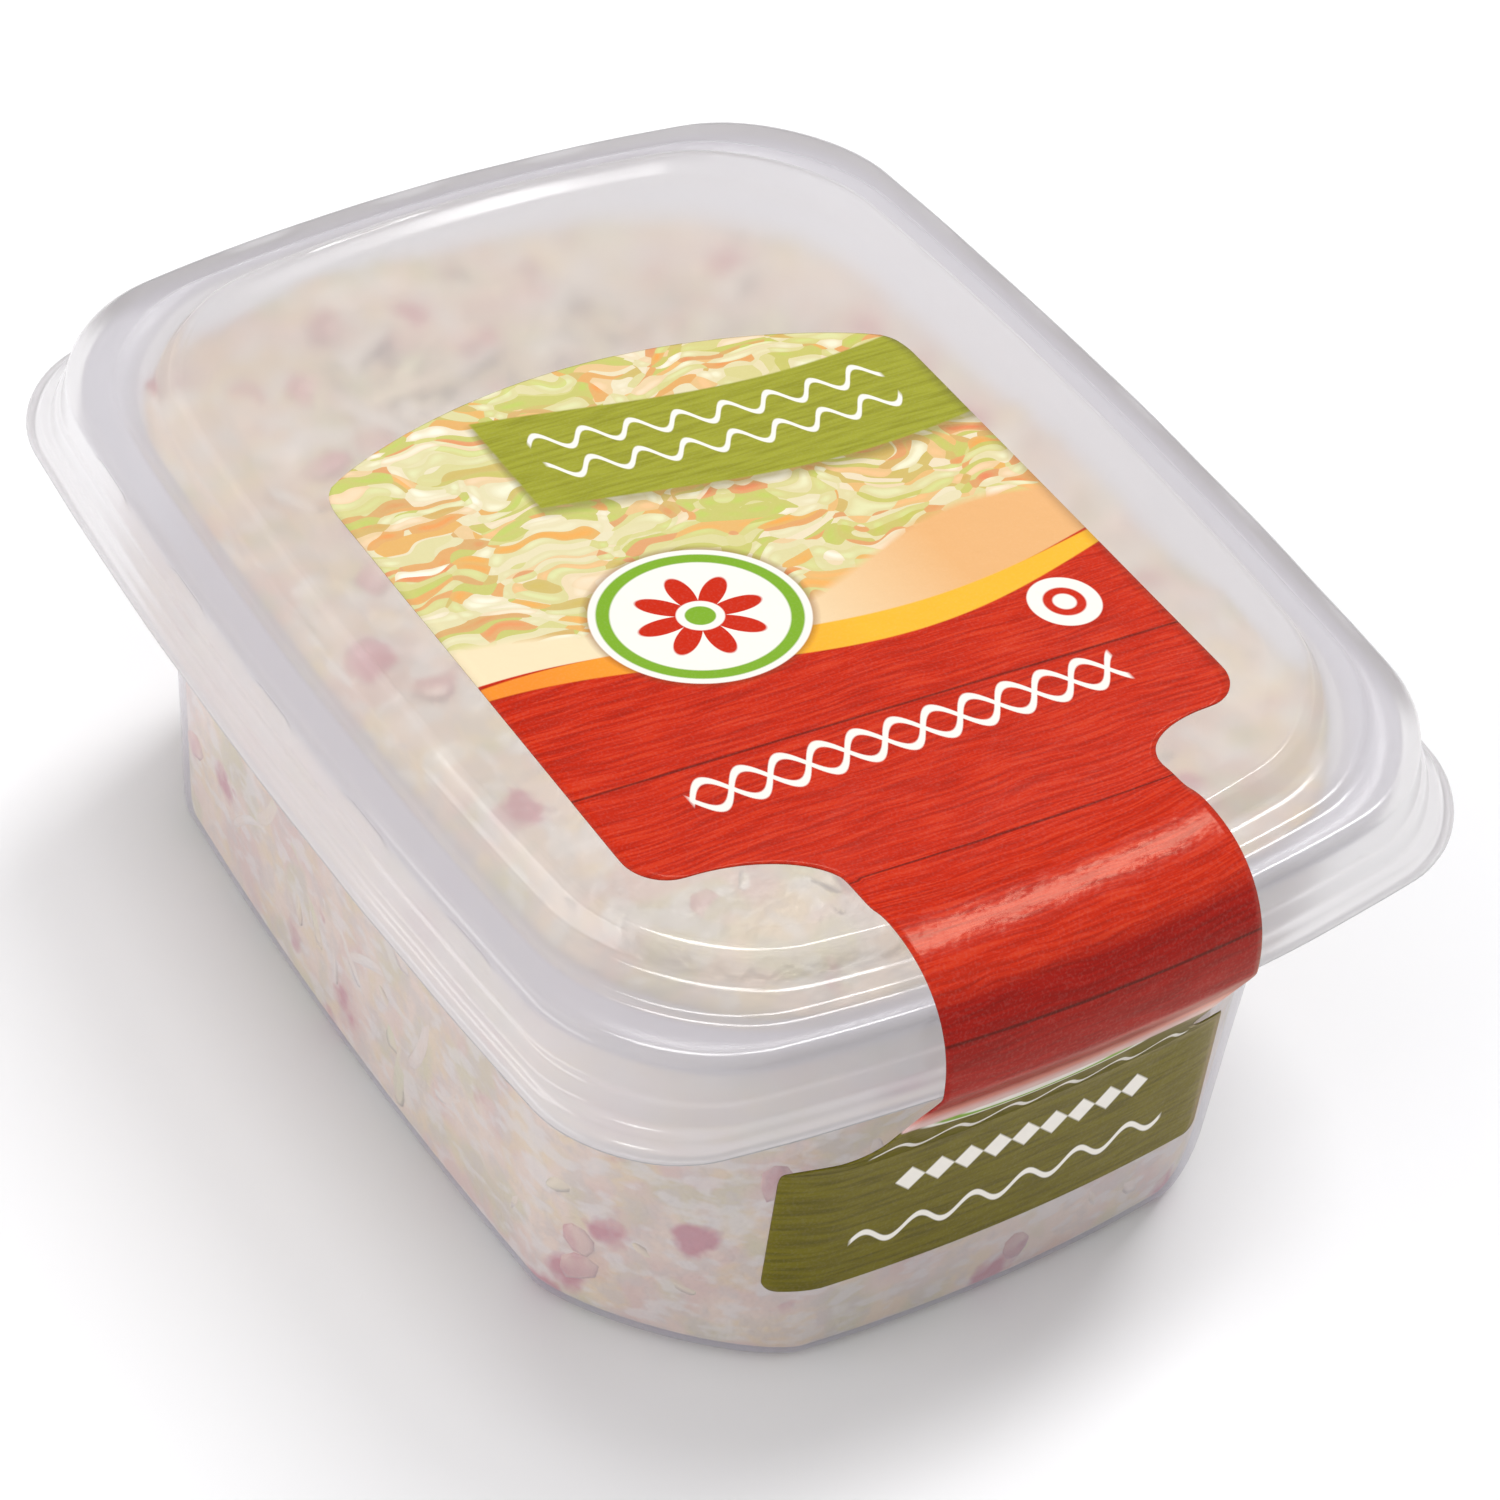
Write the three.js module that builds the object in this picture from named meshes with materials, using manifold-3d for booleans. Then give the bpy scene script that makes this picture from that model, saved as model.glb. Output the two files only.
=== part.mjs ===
// A shut tub of coleslaw: a thin clear tub, its stepped press-on lid, a paper-thin label that runs from
// the lid over the front edge and down the front wall, and the salad inside.
// Millimetres, +Z up. The origin is under the middle of the tub, on the surface that it stands on.
// The label reads along +X, and its strip comes down the -Y side.
import * as THREE from 'three';
import { mergeVertices } from 'three/addons/utils/BufferGeometryUtils.js';
import Module from 'manifold-3d';

// Driving dimensions
const LID_X = 110.8; // over the lip of the lid, side to side
const LID_Y = 141.4; // over the lip of the lid, front to back
const LIP_Z = 46.9; // underside of the lip
const LEDGE_Z = 56.3; // top of the ledge over the tub's rim
const PANEL_Z = 58.8; // top of the middle panel of the lid
const CREST_Z = 59.7; // top of the bead round the panel
const BASE_X = 87.4; // tub at the foot of its walls
const BASE_Y = 122.4;
const WALL_TOP_Z = 46.5;
const WALL_DRAFT = 0.03; // how far a wall leans out, in mm for each mm of height
const RIM_Z = 55.1; // top of the tub's rim
const PLASTIC = 0.8; // wall of the tub and of the lid
const LABEL_THICK = 0.3;
const LABEL_GAP = 0.2; // between the label and the lid that it is stuck on
const LABEL_WALL_GAP = 0.4; // and the tub's wall, which curves more
const FILL_Z = 50; // mean level of the salad
const FILL_TOP_Z = 56.8; // where it lies just under the lid's panel
const SALAD_GAP = 0.4; // between the salad and the tub
const SEED = 7;

// How round and how bowed an outline is: the bows push the middle of each side out, and a softness of 2
// makes a round corner, while one near 1 makes a chamfer with soft ends
const LID_BOW = { bowX: 3.1, bowY: 5.6, soft: 2 };
const FOOT_SHAPE = { corner: 17.5, bowX: 2.9, bowY: 4.6, soft: 1.42 };
const SHOULDER_SHAPE = { corner: 24, bowX: 3, bowY: 3, soft: 2.1 };

const CORNER_STEPS = 6;
const SIDE_STEPS = 4;

// One closed outline, level or not: a rounded rectangle with bowed sides, counter-clockwise from above
function outline(ring) {
  const a = ring.x - ring.bowX;
  const b = ring.y - ring.bowY;
  const r = ring.corner;
  const flat = [];
  const corners = [[1, 1], [-1, 1], [-1, -1], [1, -1]];
  corners.forEach(([sx, sy], i) => {
    const arc = [];
    for (let k = 0; k <= CORNER_STEPS; k++) {
      const t = (k / CORNER_STEPS) * Math.PI / 2;
      const u = Math.cos(t) ** (2 / ring.soft);
      const v = Math.sin(t) ** (2 / ring.soft);
      arc.push([sx * (a - r + r * u), sy * (b - r + r * v)]);
    }
    if (i % 2 === 1) arc.reverse();
    flat.push(...arc);
    const [nx, ny] = corners[(i + 1) % 4];
    const from = arc[CORNER_STEPS];
    const to = i % 2 === 0 ? [nx * (a - r), ny * b] : [nx * a, ny * (b - r)];
    for (let k = 1; k < SIDE_STEPS; k++) {
      const t = k / SIDE_STEPS;
      flat.push([from[0] + (to[0] - from[0]) * t, from[1] + (to[1] - from[1]) * t]);
    }
  });
  return flat.map(([x, y]) => [
    x * (1 + (ring.bowX / a) * (1 - (y / b) ** 2)),
    y * (1 + (ring.bowY / b) * (1 - (x / a) ** 2)),
    ring.z,
  ]);
}

// The y of an outline's front side at a given x
function frontY(ring, x) {
  const a = ring.x - ring.bowX;
  const b = ring.y - ring.bowY;
  const past = Math.max(Math.abs(x) - (a - ring.corner), 0) / ring.corner;
  const y = b - ring.corner * (1 - (1 - past ** ring.soft) ** (1 / ring.soft));
  return -y * (1 + (ring.bowY / b) * (1 - (x / a) ** 2));
}

// A closed body from outlines with the same count of points, capped at both ends
function loft(outlines) {
  const count = outlines[0].length;
  const points = outlines.flat();
  const faces = [];
  for (let i = 0; i + 1 < outlines.length; i++) {
    for (let k = 0; k < count; k++) {
      const a = i * count + k;
      const b = i * count + ((k + 1) % count);
      faces.push(a, b, b + count, a, b + count, a + count);
    }
  }
  for (const [row, flip] of [[0, true], [outlines.length - 1, false]]) {
    const middle = [0, 1, 2].map((j) => outlines[row].reduce((sum, p) => sum + p[j], 0) / count);
    points.push(middle);
    const m = points.length - 1;
    for (let k = 0; k < count; k++) {
      const a = row * count + k;
      const b = row * count + ((k + 1) % count);
      if (flip) faces.push(m, b, a);
      else faces.push(m, a, b);
    }
  }
  return body(points, faces);
}

function body(points, faces) {
  const geometry = new THREE.BufferGeometry();
  geometry.setAttribute('position', new THREE.Float32BufferAttribute(points.flat(), 3));
  geometry.setIndex(faces);
  geometry.computeVertexNormals();
  return geometry;
}

// The same profile moved by a distance to its left, with mitred corners
function moved(profile, distance) {
  const sides = profile.slice(1).map((p, i) => {
    const q = profile[i];
    const size = Math.hypot(p.out - q.out, p.z - q.z);
    return [-(p.z - q.z) / size, (p.out - q.out) / size];
  });
  return profile.map((p, i) => {
    const m = sides[Math.max(i - 1, 0)];
    const n = sides[Math.min(i, sides.length - 1)];
    const scale = distance / (1 + m[0] * n[0] + m[1] * n[1]);
    return { ...p, out: p.out + (m[0] + n[0]) * scale, z: p.z + (m[1] + n[1]) * scale };
  });
}

// The lid's profile from the middle out to the lip: how far each outline lies inside the lip's,
// its height, and its corner radius
const LID_PROFILE = [
  { out: -15.6, z: PANEL_Z, corner: 12.5 },
  { out: -14.4, z: PANEL_Z + 0.1, corner: 13.5 },
  { out: -12.2, z: CREST_Z - 0.15, corner: 14.5 },
  { out: -11.5, z: CREST_Z, corner: 15 },
  { out: -10.9, z: CREST_Z - 0.3, corner: 15 },
  { out: -9.6, z: LEDGE_Z + 0.8, corner: 16 },
  { out: -8.9, z: LEDGE_Z + 0.5, corner: 16 },
  { out: -6.6, z: LEDGE_Z + 0.5, corner: 16 },
  { out: -6.1, z: LEDGE_Z, corner: 16 },
  { out: -3.3, z: LEDGE_Z, corner: 15.5 },
  { out: -2.6, z: LEDGE_Z - 0.7, corner: 15 },
  { out: -1.6, z: LIP_Z + 2.2, corner: 13 },
  { out: -0.7, z: LIP_Z + 1.5, corner: 12 },
  { out: -0.2, z: LIP_Z + 1.1, corner: 11.5 },
  { out: 0, z: LIP_Z + 0.6, corner: 11.5 },
  { out: -0.15, z: LIP_Z, corner: 11.5 },
];

function lidRing({ out, z, corner }) {
  return { x: LID_X / 2 + out, y: LID_Y / 2 + out, z, corner, ...LID_BOW };
}

// Small pockets in the skirt, pressed in from outside, that grip under the tub's rim
const LUG = { long: 7, high: 1.2, deep: 0.35, pitch: 19, z: LIP_Z + 7.2 };

function lid(wasm) {
  const under = moved(LID_PROFILE, -PLASTIC).reverse();
  const rings = [...LID_PROFILE, ...under].map((p) => outline(lidRing(p)));
  let shell = toSolid(wasm, loft(rings.reverse()));
  const skirt = lidRing({ out: -2.4, z: LUG.z, corner: 15 });
  const lugBox = (x, y, along) => {
    const [sx, sy] = along === 'y' ? [2, LUG.long] : [LUG.long, 2];
    const box = new THREE.BoxGeometry(sx, sy, LUG.high);
    box.translate(x, y, LUG.z);
    return toSolid(wasm, box);
  };
  for (const side of [-1, 1]) {
    for (const step of [-2, -1, 0, 1, 2]) {
      const y = step * LUG.pitch;
      const bulge = LID_BOW.bowX * (y / (skirt.y - LID_BOW.bowY)) ** 2;
      const x = skirt.x - bulge - LUG.deep + 1;
      shell = shell.subtract(lugBox(side * x, y, 'y'));
    }
    for (const step of [-1, 0, 1]) {
      const x = step * LUG.pitch;
      const y = -frontY(skirt, x) - LUG.deep + 1;
      if (side > 0) shell = shell.subtract(lugBox(x, side * y, 'x'));
    }
  }
  return fromSolid(shell);
}

// The tub's outline at a height on its wall, moved out by a distance
function wallRing(z, out = 0) {
  const up = Math.min(z / WALL_TOP_Z, 1);
  const mix = (key) => FOOT_SHAPE[key] + (SHOULDER_SHAPE[key] - FOOT_SHAPE[key]) * up;
  const lean = WALL_DRAFT * z + out;
  return {
    x: BASE_X / 2 + lean,
    y: BASE_Y / 2 + lean,
    z,
    corner: mix('corner'),
    bowX: mix('bowX'),
    bowY: mix('bowY'),
    soft: mix('soft'),
  };
}

// The tub's profile outside, from under the base up to the shoulder. The base is pressed in a little,
// so that the tub stands on a foot all the way round.
const FOOT_IN = 7;
const FOOT_RECESS = 1;
const TUB_PROFILE = [
  { out: -FOOT_IN - 1, z: FOOT_RECESS },
  { out: -FOOT_IN, z: 0 },
  { out: -2.4, z: 0 },
  { out: -1, z: 0.5 },
  { out: -0.25, z: 1.5 },
  { out: 0, z: 3 },
  { out: 0, z: 16 },
  { out: 0, z: 31 },
  { out: 0, z: WALL_TOP_Z },
];

// From the shoulder to the rim, which reaches out under the lid's ledge and turns down
const RIM_OUT = -3.7; // the rim's edge, inside the lid's lip
const SHOULDER_Z = 48.6;

function rimRing(out, z) {
  return { x: LID_X / 2 + out, y: LID_Y / 2 + out, z, corner: 15.5, ...LID_BOW };
}

function between(ringA, ringB, t, z) {
  const ring = { z };
  for (const key of ['x', 'y', 'corner', 'bowX', 'bowY', 'soft']) {
    ring[key] = ringA[key] + (ringB[key] - ringA[key]) * t;
  }
  return ring;
}

function tub() {
  const shoulder = wallRing(WALL_TOP_Z);
  const edge = rimRing(RIM_OUT, RIM_Z);
  const inset = (ring, d, z) => ({ ...ring, x: ring.x - d, y: ring.y - d, z });
  const outside = [
    ...TUB_PROFILE.map(({ out, z }) => wallRing(z, out)),
    between(shoulder, edge, 0.2, SHOULDER_Z),
    between(shoulder, edge, 0.28, SHOULDER_Z + 2.5),
    between(shoulder, edge, 0.45, RIM_Z - PLASTIC),
    inset(edge, PLASTIC, RIM_Z - PLASTIC),
    inset(edge, PLASTIC, RIM_Z - 2),
    inset(edge, 0, RIM_Z - 2),
    inset(edge, 0, RIM_Z - 0.4),
    inset(edge, 0.4, RIM_Z),
  ];
  const floorZ = FOOT_RECESS + PLASTIC;
  const inside = [
    inset(between(shoulder, edge, 0.45, RIM_Z), PLASTIC, RIM_Z),
    inset(between(shoulder, edge, 0.28, SHOULDER_Z + 2.5), PLASTIC, SHOULDER_Z + 2.5),
    inset(between(shoulder, edge, 0.2, SHOULDER_Z + 0.4), PLASTIC, SHOULDER_Z + 0.4),
    ...[WALL_TOP_Z, 31, 16, 4].map((z) => wallRing(z, -PLASTIC)),
    wallRing(floorZ + 0.6, -1.4),
    wallRing(floorZ, -3),
    wallRing(floorZ, -FOOT_IN - 0.4),
  ];
  return loft([...outside, ...inside].map(outline));
}

// The label: rows across it, from its back end on the lid's panel to its end low on the front wall.
// It is a wide panel, a neck that goes over the edge of the lid, and a second panel on the wall.
const LABEL = {
  wide: 34.2, // half widths
  neck: 18.4,
  low: 26,
  wideMid: -2, // the x of the middles
  neckMid: 0,
  lowMid: -2,
  back: 18, // y of its back corners
  arch: 9.7, // how far the back edge rises between them
  front: -45.4, // y of the wide panel's front edge
  neckY: -51.8, // where the neck has its full narrowness
  corner: 4.5,
  turn: -0.05, // the panel lies a little turned on the lid: its slope in y for each mm of x
  arcOut: 11.5, // how far inside the lip its arc over the lid's edge starts
  arcSoft: 2.3, // and its softness, a little fuller than a quarter circle
  arcSteps: 10,
  lowTop: 31.5, // heights on the wall
  lowFlare: 36.5,
  lowEnd: 12.7,
  lowCorner: 1.5,
};

// Half width of the label by y, on the lid
function lidWidth(y) {
  if (y > LABEL.front + LABEL.corner) return LABEL.wide;
  if (y > LABEL.front) {
    const t = (LABEL.front + LABEL.corner - y) / LABEL.corner;
    return LABEL.wide - LABEL.corner * (1 - Math.sqrt(1 - t * t));
  }
  const t = Math.min((y - LABEL.neckY) / (LABEL.front - LABEL.neckY), 1);
  if (t <= 0) return LABEL.neck;
  const inner = LABEL.wide - LABEL.corner;
  return inner - (inner - LABEL.neck) * Math.sqrt(1 - t * t);
}

// Half width of the label by height, on the front wall
function wallWidth(z) {
  if (z > LABEL.lowFlare) return LABEL.neck;
  if (z > LABEL.lowTop) {
    const t = (LABEL.lowFlare - z) / (LABEL.lowFlare - LABEL.lowTop);
    return LABEL.low - (LABEL.low - LABEL.neck) * Math.sqrt(1 - t * t);
  }
  const t = Math.max(LABEL.lowEnd + LABEL.lowCorner - z, 0) / LABEL.lowCorner;
  return LABEL.low - LABEL.lowCorner * (1 - Math.sqrt(1 - t * t));
}

// Each row: half width, the x of its middle, and a function from x to a point of the label's underside
function labelRows() {
  const rows = [];
  const top = PANEL_Z + LABEL_GAP + 0.1;
  const flat = (half, mid, y) => {
    rows.push({ half, mid, at: (x) => [x, y(x) + LABEL.turn * (x - LABEL.wideMid), top] });
  };
  const backY = (x) => {
    const across = Math.min(Math.abs(x - LABEL.wideMid) / LABEL.wide, 1);
    return LABEL.back + LABEL.arch * Math.max(Math.cos(across * Math.PI / 2), 0) ** 0.7;
  };
  flat(LABEL.wide - 1.5, LABEL.wideMid, (x) => backY(x) + 0.4);
  flat(LABEL.wide, LABEL.wideMid, (x) => backY(x) - 1.4);
  const flatYs = [6, -10, -27, LABEL.front + LABEL.corner];
  for (const t of [0.4, 0.7, 0.9, 1]) flatYs.push(LABEL.front + LABEL.corner * (1 - t));
  for (const t of [0.96, 0.85, 0.65, 0.35, 0]) {
    flatYs.push(LABEL.neckY + (LABEL.front - LABEL.neckY) * t);
  }
  for (const y of flatYs) {
    const toNeck = Math.min(Math.max((LABEL.front - y) / (LABEL.front - LABEL.neckY), 0), 1);
    const mid = LABEL.wideMid + (LABEL.neckMid - LABEL.wideMid) * toNeck;
    flat(lidWidth(y), mid, () => y);
  }
  // Up the bead, and then on an arc of its own that stands clear of the ledge and comes down on the lip
  const overLid = [[-14.2, PANEL_Z + 0.3], [-12.7, CREST_Z - 0.05]];
  const arcLow = LIP_Z + 0.6;
  const arcHigh = CREST_Z + 0.15;
  for (let k = 0; k <= LABEL.arcSteps; k++) {
    const t = (k / LABEL.arcSteps) * Math.PI / 2;
    const along = Math.sin(t) ** (2 / LABEL.arcSoft);
    const up = Math.max(Math.cos(t), 0) ** (2 / LABEL.arcSoft);
    overLid.push([LABEL.arcOut * (along - 1), arcLow + (arcHigh - arcLow) * up]);
  }
  overLid.push([-0.1, LIP_Z - 0.2]);
  for (const [out, z] of overLid) {
    const ring = lidRing({ out: out + LABEL_GAP, z, corner: 15 });
    const at = (x) => [x, frontY(ring, x), z + LABEL_GAP * 0.5];
    rows.push({ half: LABEL.neck, mid: LABEL.neckMid, at });
  }
  const stuck = LABEL.lowTop - 1;
  const lip = lidRing({ out: 0, z: LIP_Z, corner: 11.5 });
  for (const t of [0.3, 0.55, 0.7, 0.82, 0.92, 0.98]) {
    const z = LIP_Z - (LIP_Z - stuck) * t;
    const wall = wallRing(stuck, LABEL_WALL_GAP);
    const at = (x) => [x, frontY(lip, x) + (frontY(wall, x) - frontY(lip, x)) * t, z];
    const mid = LABEL.neckMid + (LABEL.lowMid - LABEL.neckMid) * t;
    rows.push({ half: wallWidth(z), mid, at });
  }
  const lowZs = [stuck, 25, 19, LABEL.lowEnd + LABEL.lowCorner, LABEL.lowEnd + 0.4, LABEL.lowEnd];
  for (const z of lowZs) {
    const wall = wallRing(z, LABEL_WALL_GAP);
    rows.push({ half: wallWidth(z), mid: LABEL.lowMid, at: (x) => [x, frontY(wall, x), z] });
  }
  return rows;
}

const LABEL_COLUMNS = [-1, -0.9, -0.65, -0.33, 0, 0.33, 0.65, 0.9, 1];

function label() {
  const under = labelRows().map(({ half, mid, at }) => LABEL_COLUMNS.map((u) => at(mid + u * half)));
  const over = under.map((row, i) => row.map((p, k) => {
    const before = under[Math.max(i - 1, 0)][k];
    const after = under[Math.min(i + 1, under.length - 1)][k];
    const dy = after[1] - before[1];
    const dz = after[2] - before[2];
    const size = Math.hypot(dy, dz);
    return [p[0], p[1] + (dz / size) * LABEL_THICK, p[2] - (dy / size) * LABEL_THICK];
  }));
  const wide = LABEL_COLUMNS.length;
  const rows = under.length;
  const points = [...over.flat(), ...under.flat()];
  const below = rows * wide;
  const faces = [];
  for (let i = 0; i + 1 < rows; i++) {
    for (let k = 0; k + 1 < wide; k++) {
      const a = i * wide + k;
      const quad = [a, a + wide, a + wide + 1, a + 1];
      faces.push(quad[0], quad[1], quad[2], quad[0], quad[2], quad[3]);
      const low = quad.map((v) => v + below);
      faces.push(low[0], low[2], low[1], low[0], low[3], low[2]);
    }
  }
  const rim = [];
  for (let k = 0; k < wide; k++) rim.push(k);
  for (let i = 1; i < rows; i++) rim.push(i * wide + wide - 1);
  for (let k = wide - 2; k >= 0; k--) rim.push((rows - 1) * wide + k);
  for (let i = rows - 2; i > 0; i--) rim.push(i * wide);
  rim.forEach((a, i) => {
    const b = rim[(i + 1) % rim.length];
    faces.push(a, b, b + below, a, b + below, a + below);
  });
  return body(points, faces);
}

// Booleans
function toSolid(wasm, geometry) {
  const plain = geometry.clone();
  plain.deleteAttribute('normal');
  if (plain.hasAttribute('uv')) plain.deleteAttribute('uv');
  const merged = mergeVertices(plain, 1e-4);
  const vertProperties = new Float32Array(merged.attributes.position.array);
  const triVerts = new Uint32Array(merged.index.array);
  return new wasm.Manifold(new wasm.Mesh({ numProp: 3, vertProperties, triVerts }));
}

function fromSolid(solid) {
  const mesh = solid.getMesh();
  const geometry = new THREE.BufferGeometry();
  const points = mesh.vertProperties.slice();
  geometry.setAttribute('position', new THREE.Float32BufferAttribute(points, mesh.numProp));
  geometry.setIndex(Array.from(mesh.triVerts));
  geometry.computeVertexNormals();
  return geometry;
}

// Random numbers that are the same each time
function draws(seed) {
  let state = seed;
  return () => {
    state = (state * 1664525 + 1013904223) % 4294967296;
    return state / 4294967296;
  };
}

// The level of the salad: slumped towards the front left corner, with soft lumps
const FILL_SLOPE_X = -0.1;
const FILL_SLOPE_Y = -0.075;

function saladZ(x, y) {
  const lumps = 0.9 * Math.sin(x / 8.5 + 1.3) * Math.cos(y / 10.5) + 0.6 * Math.sin((x + y) / 6.2);
  return Math.min(FILL_Z + FILL_SLOPE_X * x + FILL_SLOPE_Y * y + lumps, FILL_TOP_Z);
}

// The salad's own body, a little inside the tub, under the pieces that show
const CORE_IN = 1.3;
const CORE_FLOOR = FOOT_RECESS + PLASTIC + SALAD_GAP;

function saladCore() {
  const rings = [outline({ ...wallRing(CORE_FLOOR, -PLASTIC - CORE_IN - 3.5) })];
  for (const z of [4.5, 16, 28]) rings.push(outline(wallRing(z, -PLASTIC - CORE_IN)));
  const edge = outline(wallRing(FILL_Z - 6, -PLASTIC - CORE_IN));
  rings.push(edge.map(([x, y]) => [x, y, saladZ(x, y) - 1.5]));
  for (const share of [0.93, 0.78, 0.6, 0.4, 0.2]) {
    rings.push(edge.map(([x, y]) => [x * share, y * share, saladZ(x * share, y * share)]));
  }
  return loft(rings);
}

// A shred: a strip bent up or down along its length, with a section of four sides
const SHRED_STEPS = 3;

function shred(length, wide, thick, bend) {
  const strip = new THREE.BoxGeometry(length, wide, thick, SHRED_STEPS, 1, 1);
  const place = strip.attributes.position;
  for (let i = 0; i < place.count; i++) {
    const along = place.getX(i) / (length / 2);
    place.setY(i, place.getY(i) + bend * (1 - along * along) * 0.6);
    place.setZ(i, place.getZ(i) - bend * along * along * 0.35);
  }
  return strip;
}

// A piece laid on the salad's surface at x, y, turned about the vertical and sunk a little
function onSurface(piece, x, y, turn, sink) {
  const lean = 0.3;
  const slopeX = (saladZ(x + lean, y) - saladZ(x - lean, y)) / (2 * lean);
  const slopeY = (saladZ(x, y + lean) - saladZ(x, y - lean)) / (2 * lean);
  const up = new THREE.Vector3(-slopeX, -slopeY, 1).normalize();
  const tilt = new THREE.Quaternion().setFromUnitVectors(new THREE.Vector3(0, 0, 1), up);
  piece.rotateZ(turn);
  piece.applyQuaternion(tilt);
  piece.translate(x, y, saladZ(x, y) + sink);
  return piece;
}

// The space that the salad may fill: straight up from the tub's inside to just under the lid's panel
function saladSpace() {
  const heights = [CORE_FLOOR, 4.5, 16, 31, WALL_TOP_Z, FILL_TOP_Z + 0.5];
  const inset = (z) => (z === CORE_FLOOR ? 3.2 : 0);
  return loft(heights.map((z) => outline(wallRing(z, -PLASTIC - SALAD_GAP - inset(z)))));
}

const SHREDS_ON_TOP = 46;
const DICE_ON_TOP = 16;
const SHREDS_AT_WALL = 16;
const DICE_AT_WALL = 14;

function salad(wasm) {
  const next = draws(SEED);
  const pieces = [];
  const keep = (piece) => pieces.push(toSolid(wasm, piece));
  for (let i = 0; i < SHREDS_ON_TOP; i++) {
    const piece = shred(13 + 13 * next(), 2.2 + 1.6 * next(), 1.1, 2 * next() - 0.3);
    const x = (next() - 0.5) * 80;
    const y = (next() - 0.5) * 114;
    keep(onSurface(piece, x, y, next() * Math.PI, 0.35));
  }
  for (let i = 0; i < DICE_ON_TOP; i++) {
    const piece = new THREE.BoxGeometry(4.5 + 2.5 * next(), 3.2 + next(), 2.6);
    const x = (next() - 0.5) * 82;
    const y = (next() - 0.5) * 114;
    keep(onSurface(piece, x, y, next() * Math.PI, 0.5));
  }
  // Pieces pressed flat against the walls: a place round the tub, and a height
  const atWall = (piece, round, z, turn) => {
    const ring = outline(wallRing(z, -PLASTIC - SALAD_GAP - 0.75));
    const at = Math.floor(round * ring.length);
    const [x, y] = ring[at];
    const [nx, ny] = ring[(at + 1) % ring.length];
    piece.rotateZ(turn);
    piece.rotateX(Math.PI / 2 - Math.atan(WALL_DRAFT));
    piece.rotateZ(Math.atan2(ny - y, nx - x));
    piece.translate((x + nx) / 2, (y + ny) / 2, z);
    keep(piece);
  };
  for (let i = 0; i < SHREDS_AT_WALL; i++) {
    const piece = new THREE.BoxGeometry(8 + 7 * next(), 2.2 + next(), 1.2);
    atWall(piece, next(), 8 + 28 * next(), next() * Math.PI);
  }
  for (let i = 0; i < DICE_AT_WALL; i++) {
    const piece = new THREE.BoxGeometry(4.5 + 2.5 * next(), 3.5 + next(), 1.2);
    atWall(piece, next(), 7 + 30 * next(), next() * Math.PI);
  }
  let heap = toSolid(wasm, saladCore());
  for (const piece of pieces) heap = heap.add(piece);
  return fromSolid(heap.intersect(toSolid(wasm, saladSpace())));
}

// The materials
function material(color, roughness, extra = {}) {
  return new THREE.MeshStandardMaterial({ color, roughness, metalness: 0, ...extra });
}
const clearPlastic = material(0xdadada, 0.3, { transparent: true, opacity: 0.45 });
const labelPaper = material(0xd8452a, 0.45);
const saladBody = material(0xe6dcc4, 0.55);

const wasm = await Module();
wasm.setup();

const group = new THREE.Group();
const add = (name, geometry, finish) => {
  const mesh = new THREE.Mesh(geometry, finish);
  mesh.name = name;
  group.add(mesh);
};
add('tub', tub(), clearPlastic);
add('lid', lid(wasm), clearPlastic);
add('label', label(), labelPaper);
add('coleslaw', salad(wasm), saladBody);

export default group;
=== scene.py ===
# A shut tub of coleslaw: milky clear plastic over creamy salad, with one printed film label.
# Shapes are worked out in millimetres, and a mesh turns them into metres as it is made.
import math
import random

import bpy
from mathutils import Matrix, Vector, noise


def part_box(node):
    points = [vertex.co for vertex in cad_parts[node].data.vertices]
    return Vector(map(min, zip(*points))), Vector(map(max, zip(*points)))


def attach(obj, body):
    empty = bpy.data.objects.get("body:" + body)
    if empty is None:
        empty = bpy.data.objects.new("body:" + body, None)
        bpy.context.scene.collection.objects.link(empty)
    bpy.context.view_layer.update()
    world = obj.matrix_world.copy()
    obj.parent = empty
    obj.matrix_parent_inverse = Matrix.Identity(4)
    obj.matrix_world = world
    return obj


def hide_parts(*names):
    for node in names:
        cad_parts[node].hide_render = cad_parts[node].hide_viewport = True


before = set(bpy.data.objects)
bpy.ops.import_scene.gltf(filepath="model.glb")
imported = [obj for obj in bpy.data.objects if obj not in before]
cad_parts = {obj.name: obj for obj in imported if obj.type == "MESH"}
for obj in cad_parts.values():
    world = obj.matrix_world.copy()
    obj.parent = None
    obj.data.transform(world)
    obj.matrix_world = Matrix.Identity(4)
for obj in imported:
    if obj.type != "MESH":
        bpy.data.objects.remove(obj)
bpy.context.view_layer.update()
scene = bpy.context.scene
MM = 0.001

# Sizes from the frame
lid_low, lid_high = [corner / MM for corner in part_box("lid")]
tub_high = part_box("tub")[1] / MM
LID_X = lid_high.x - lid_low.x
LID_Y = lid_high.y - lid_low.y
LIP_Z = lid_low.z
CREST_Z = lid_high.z
RIM_Z = tub_high.z

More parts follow.
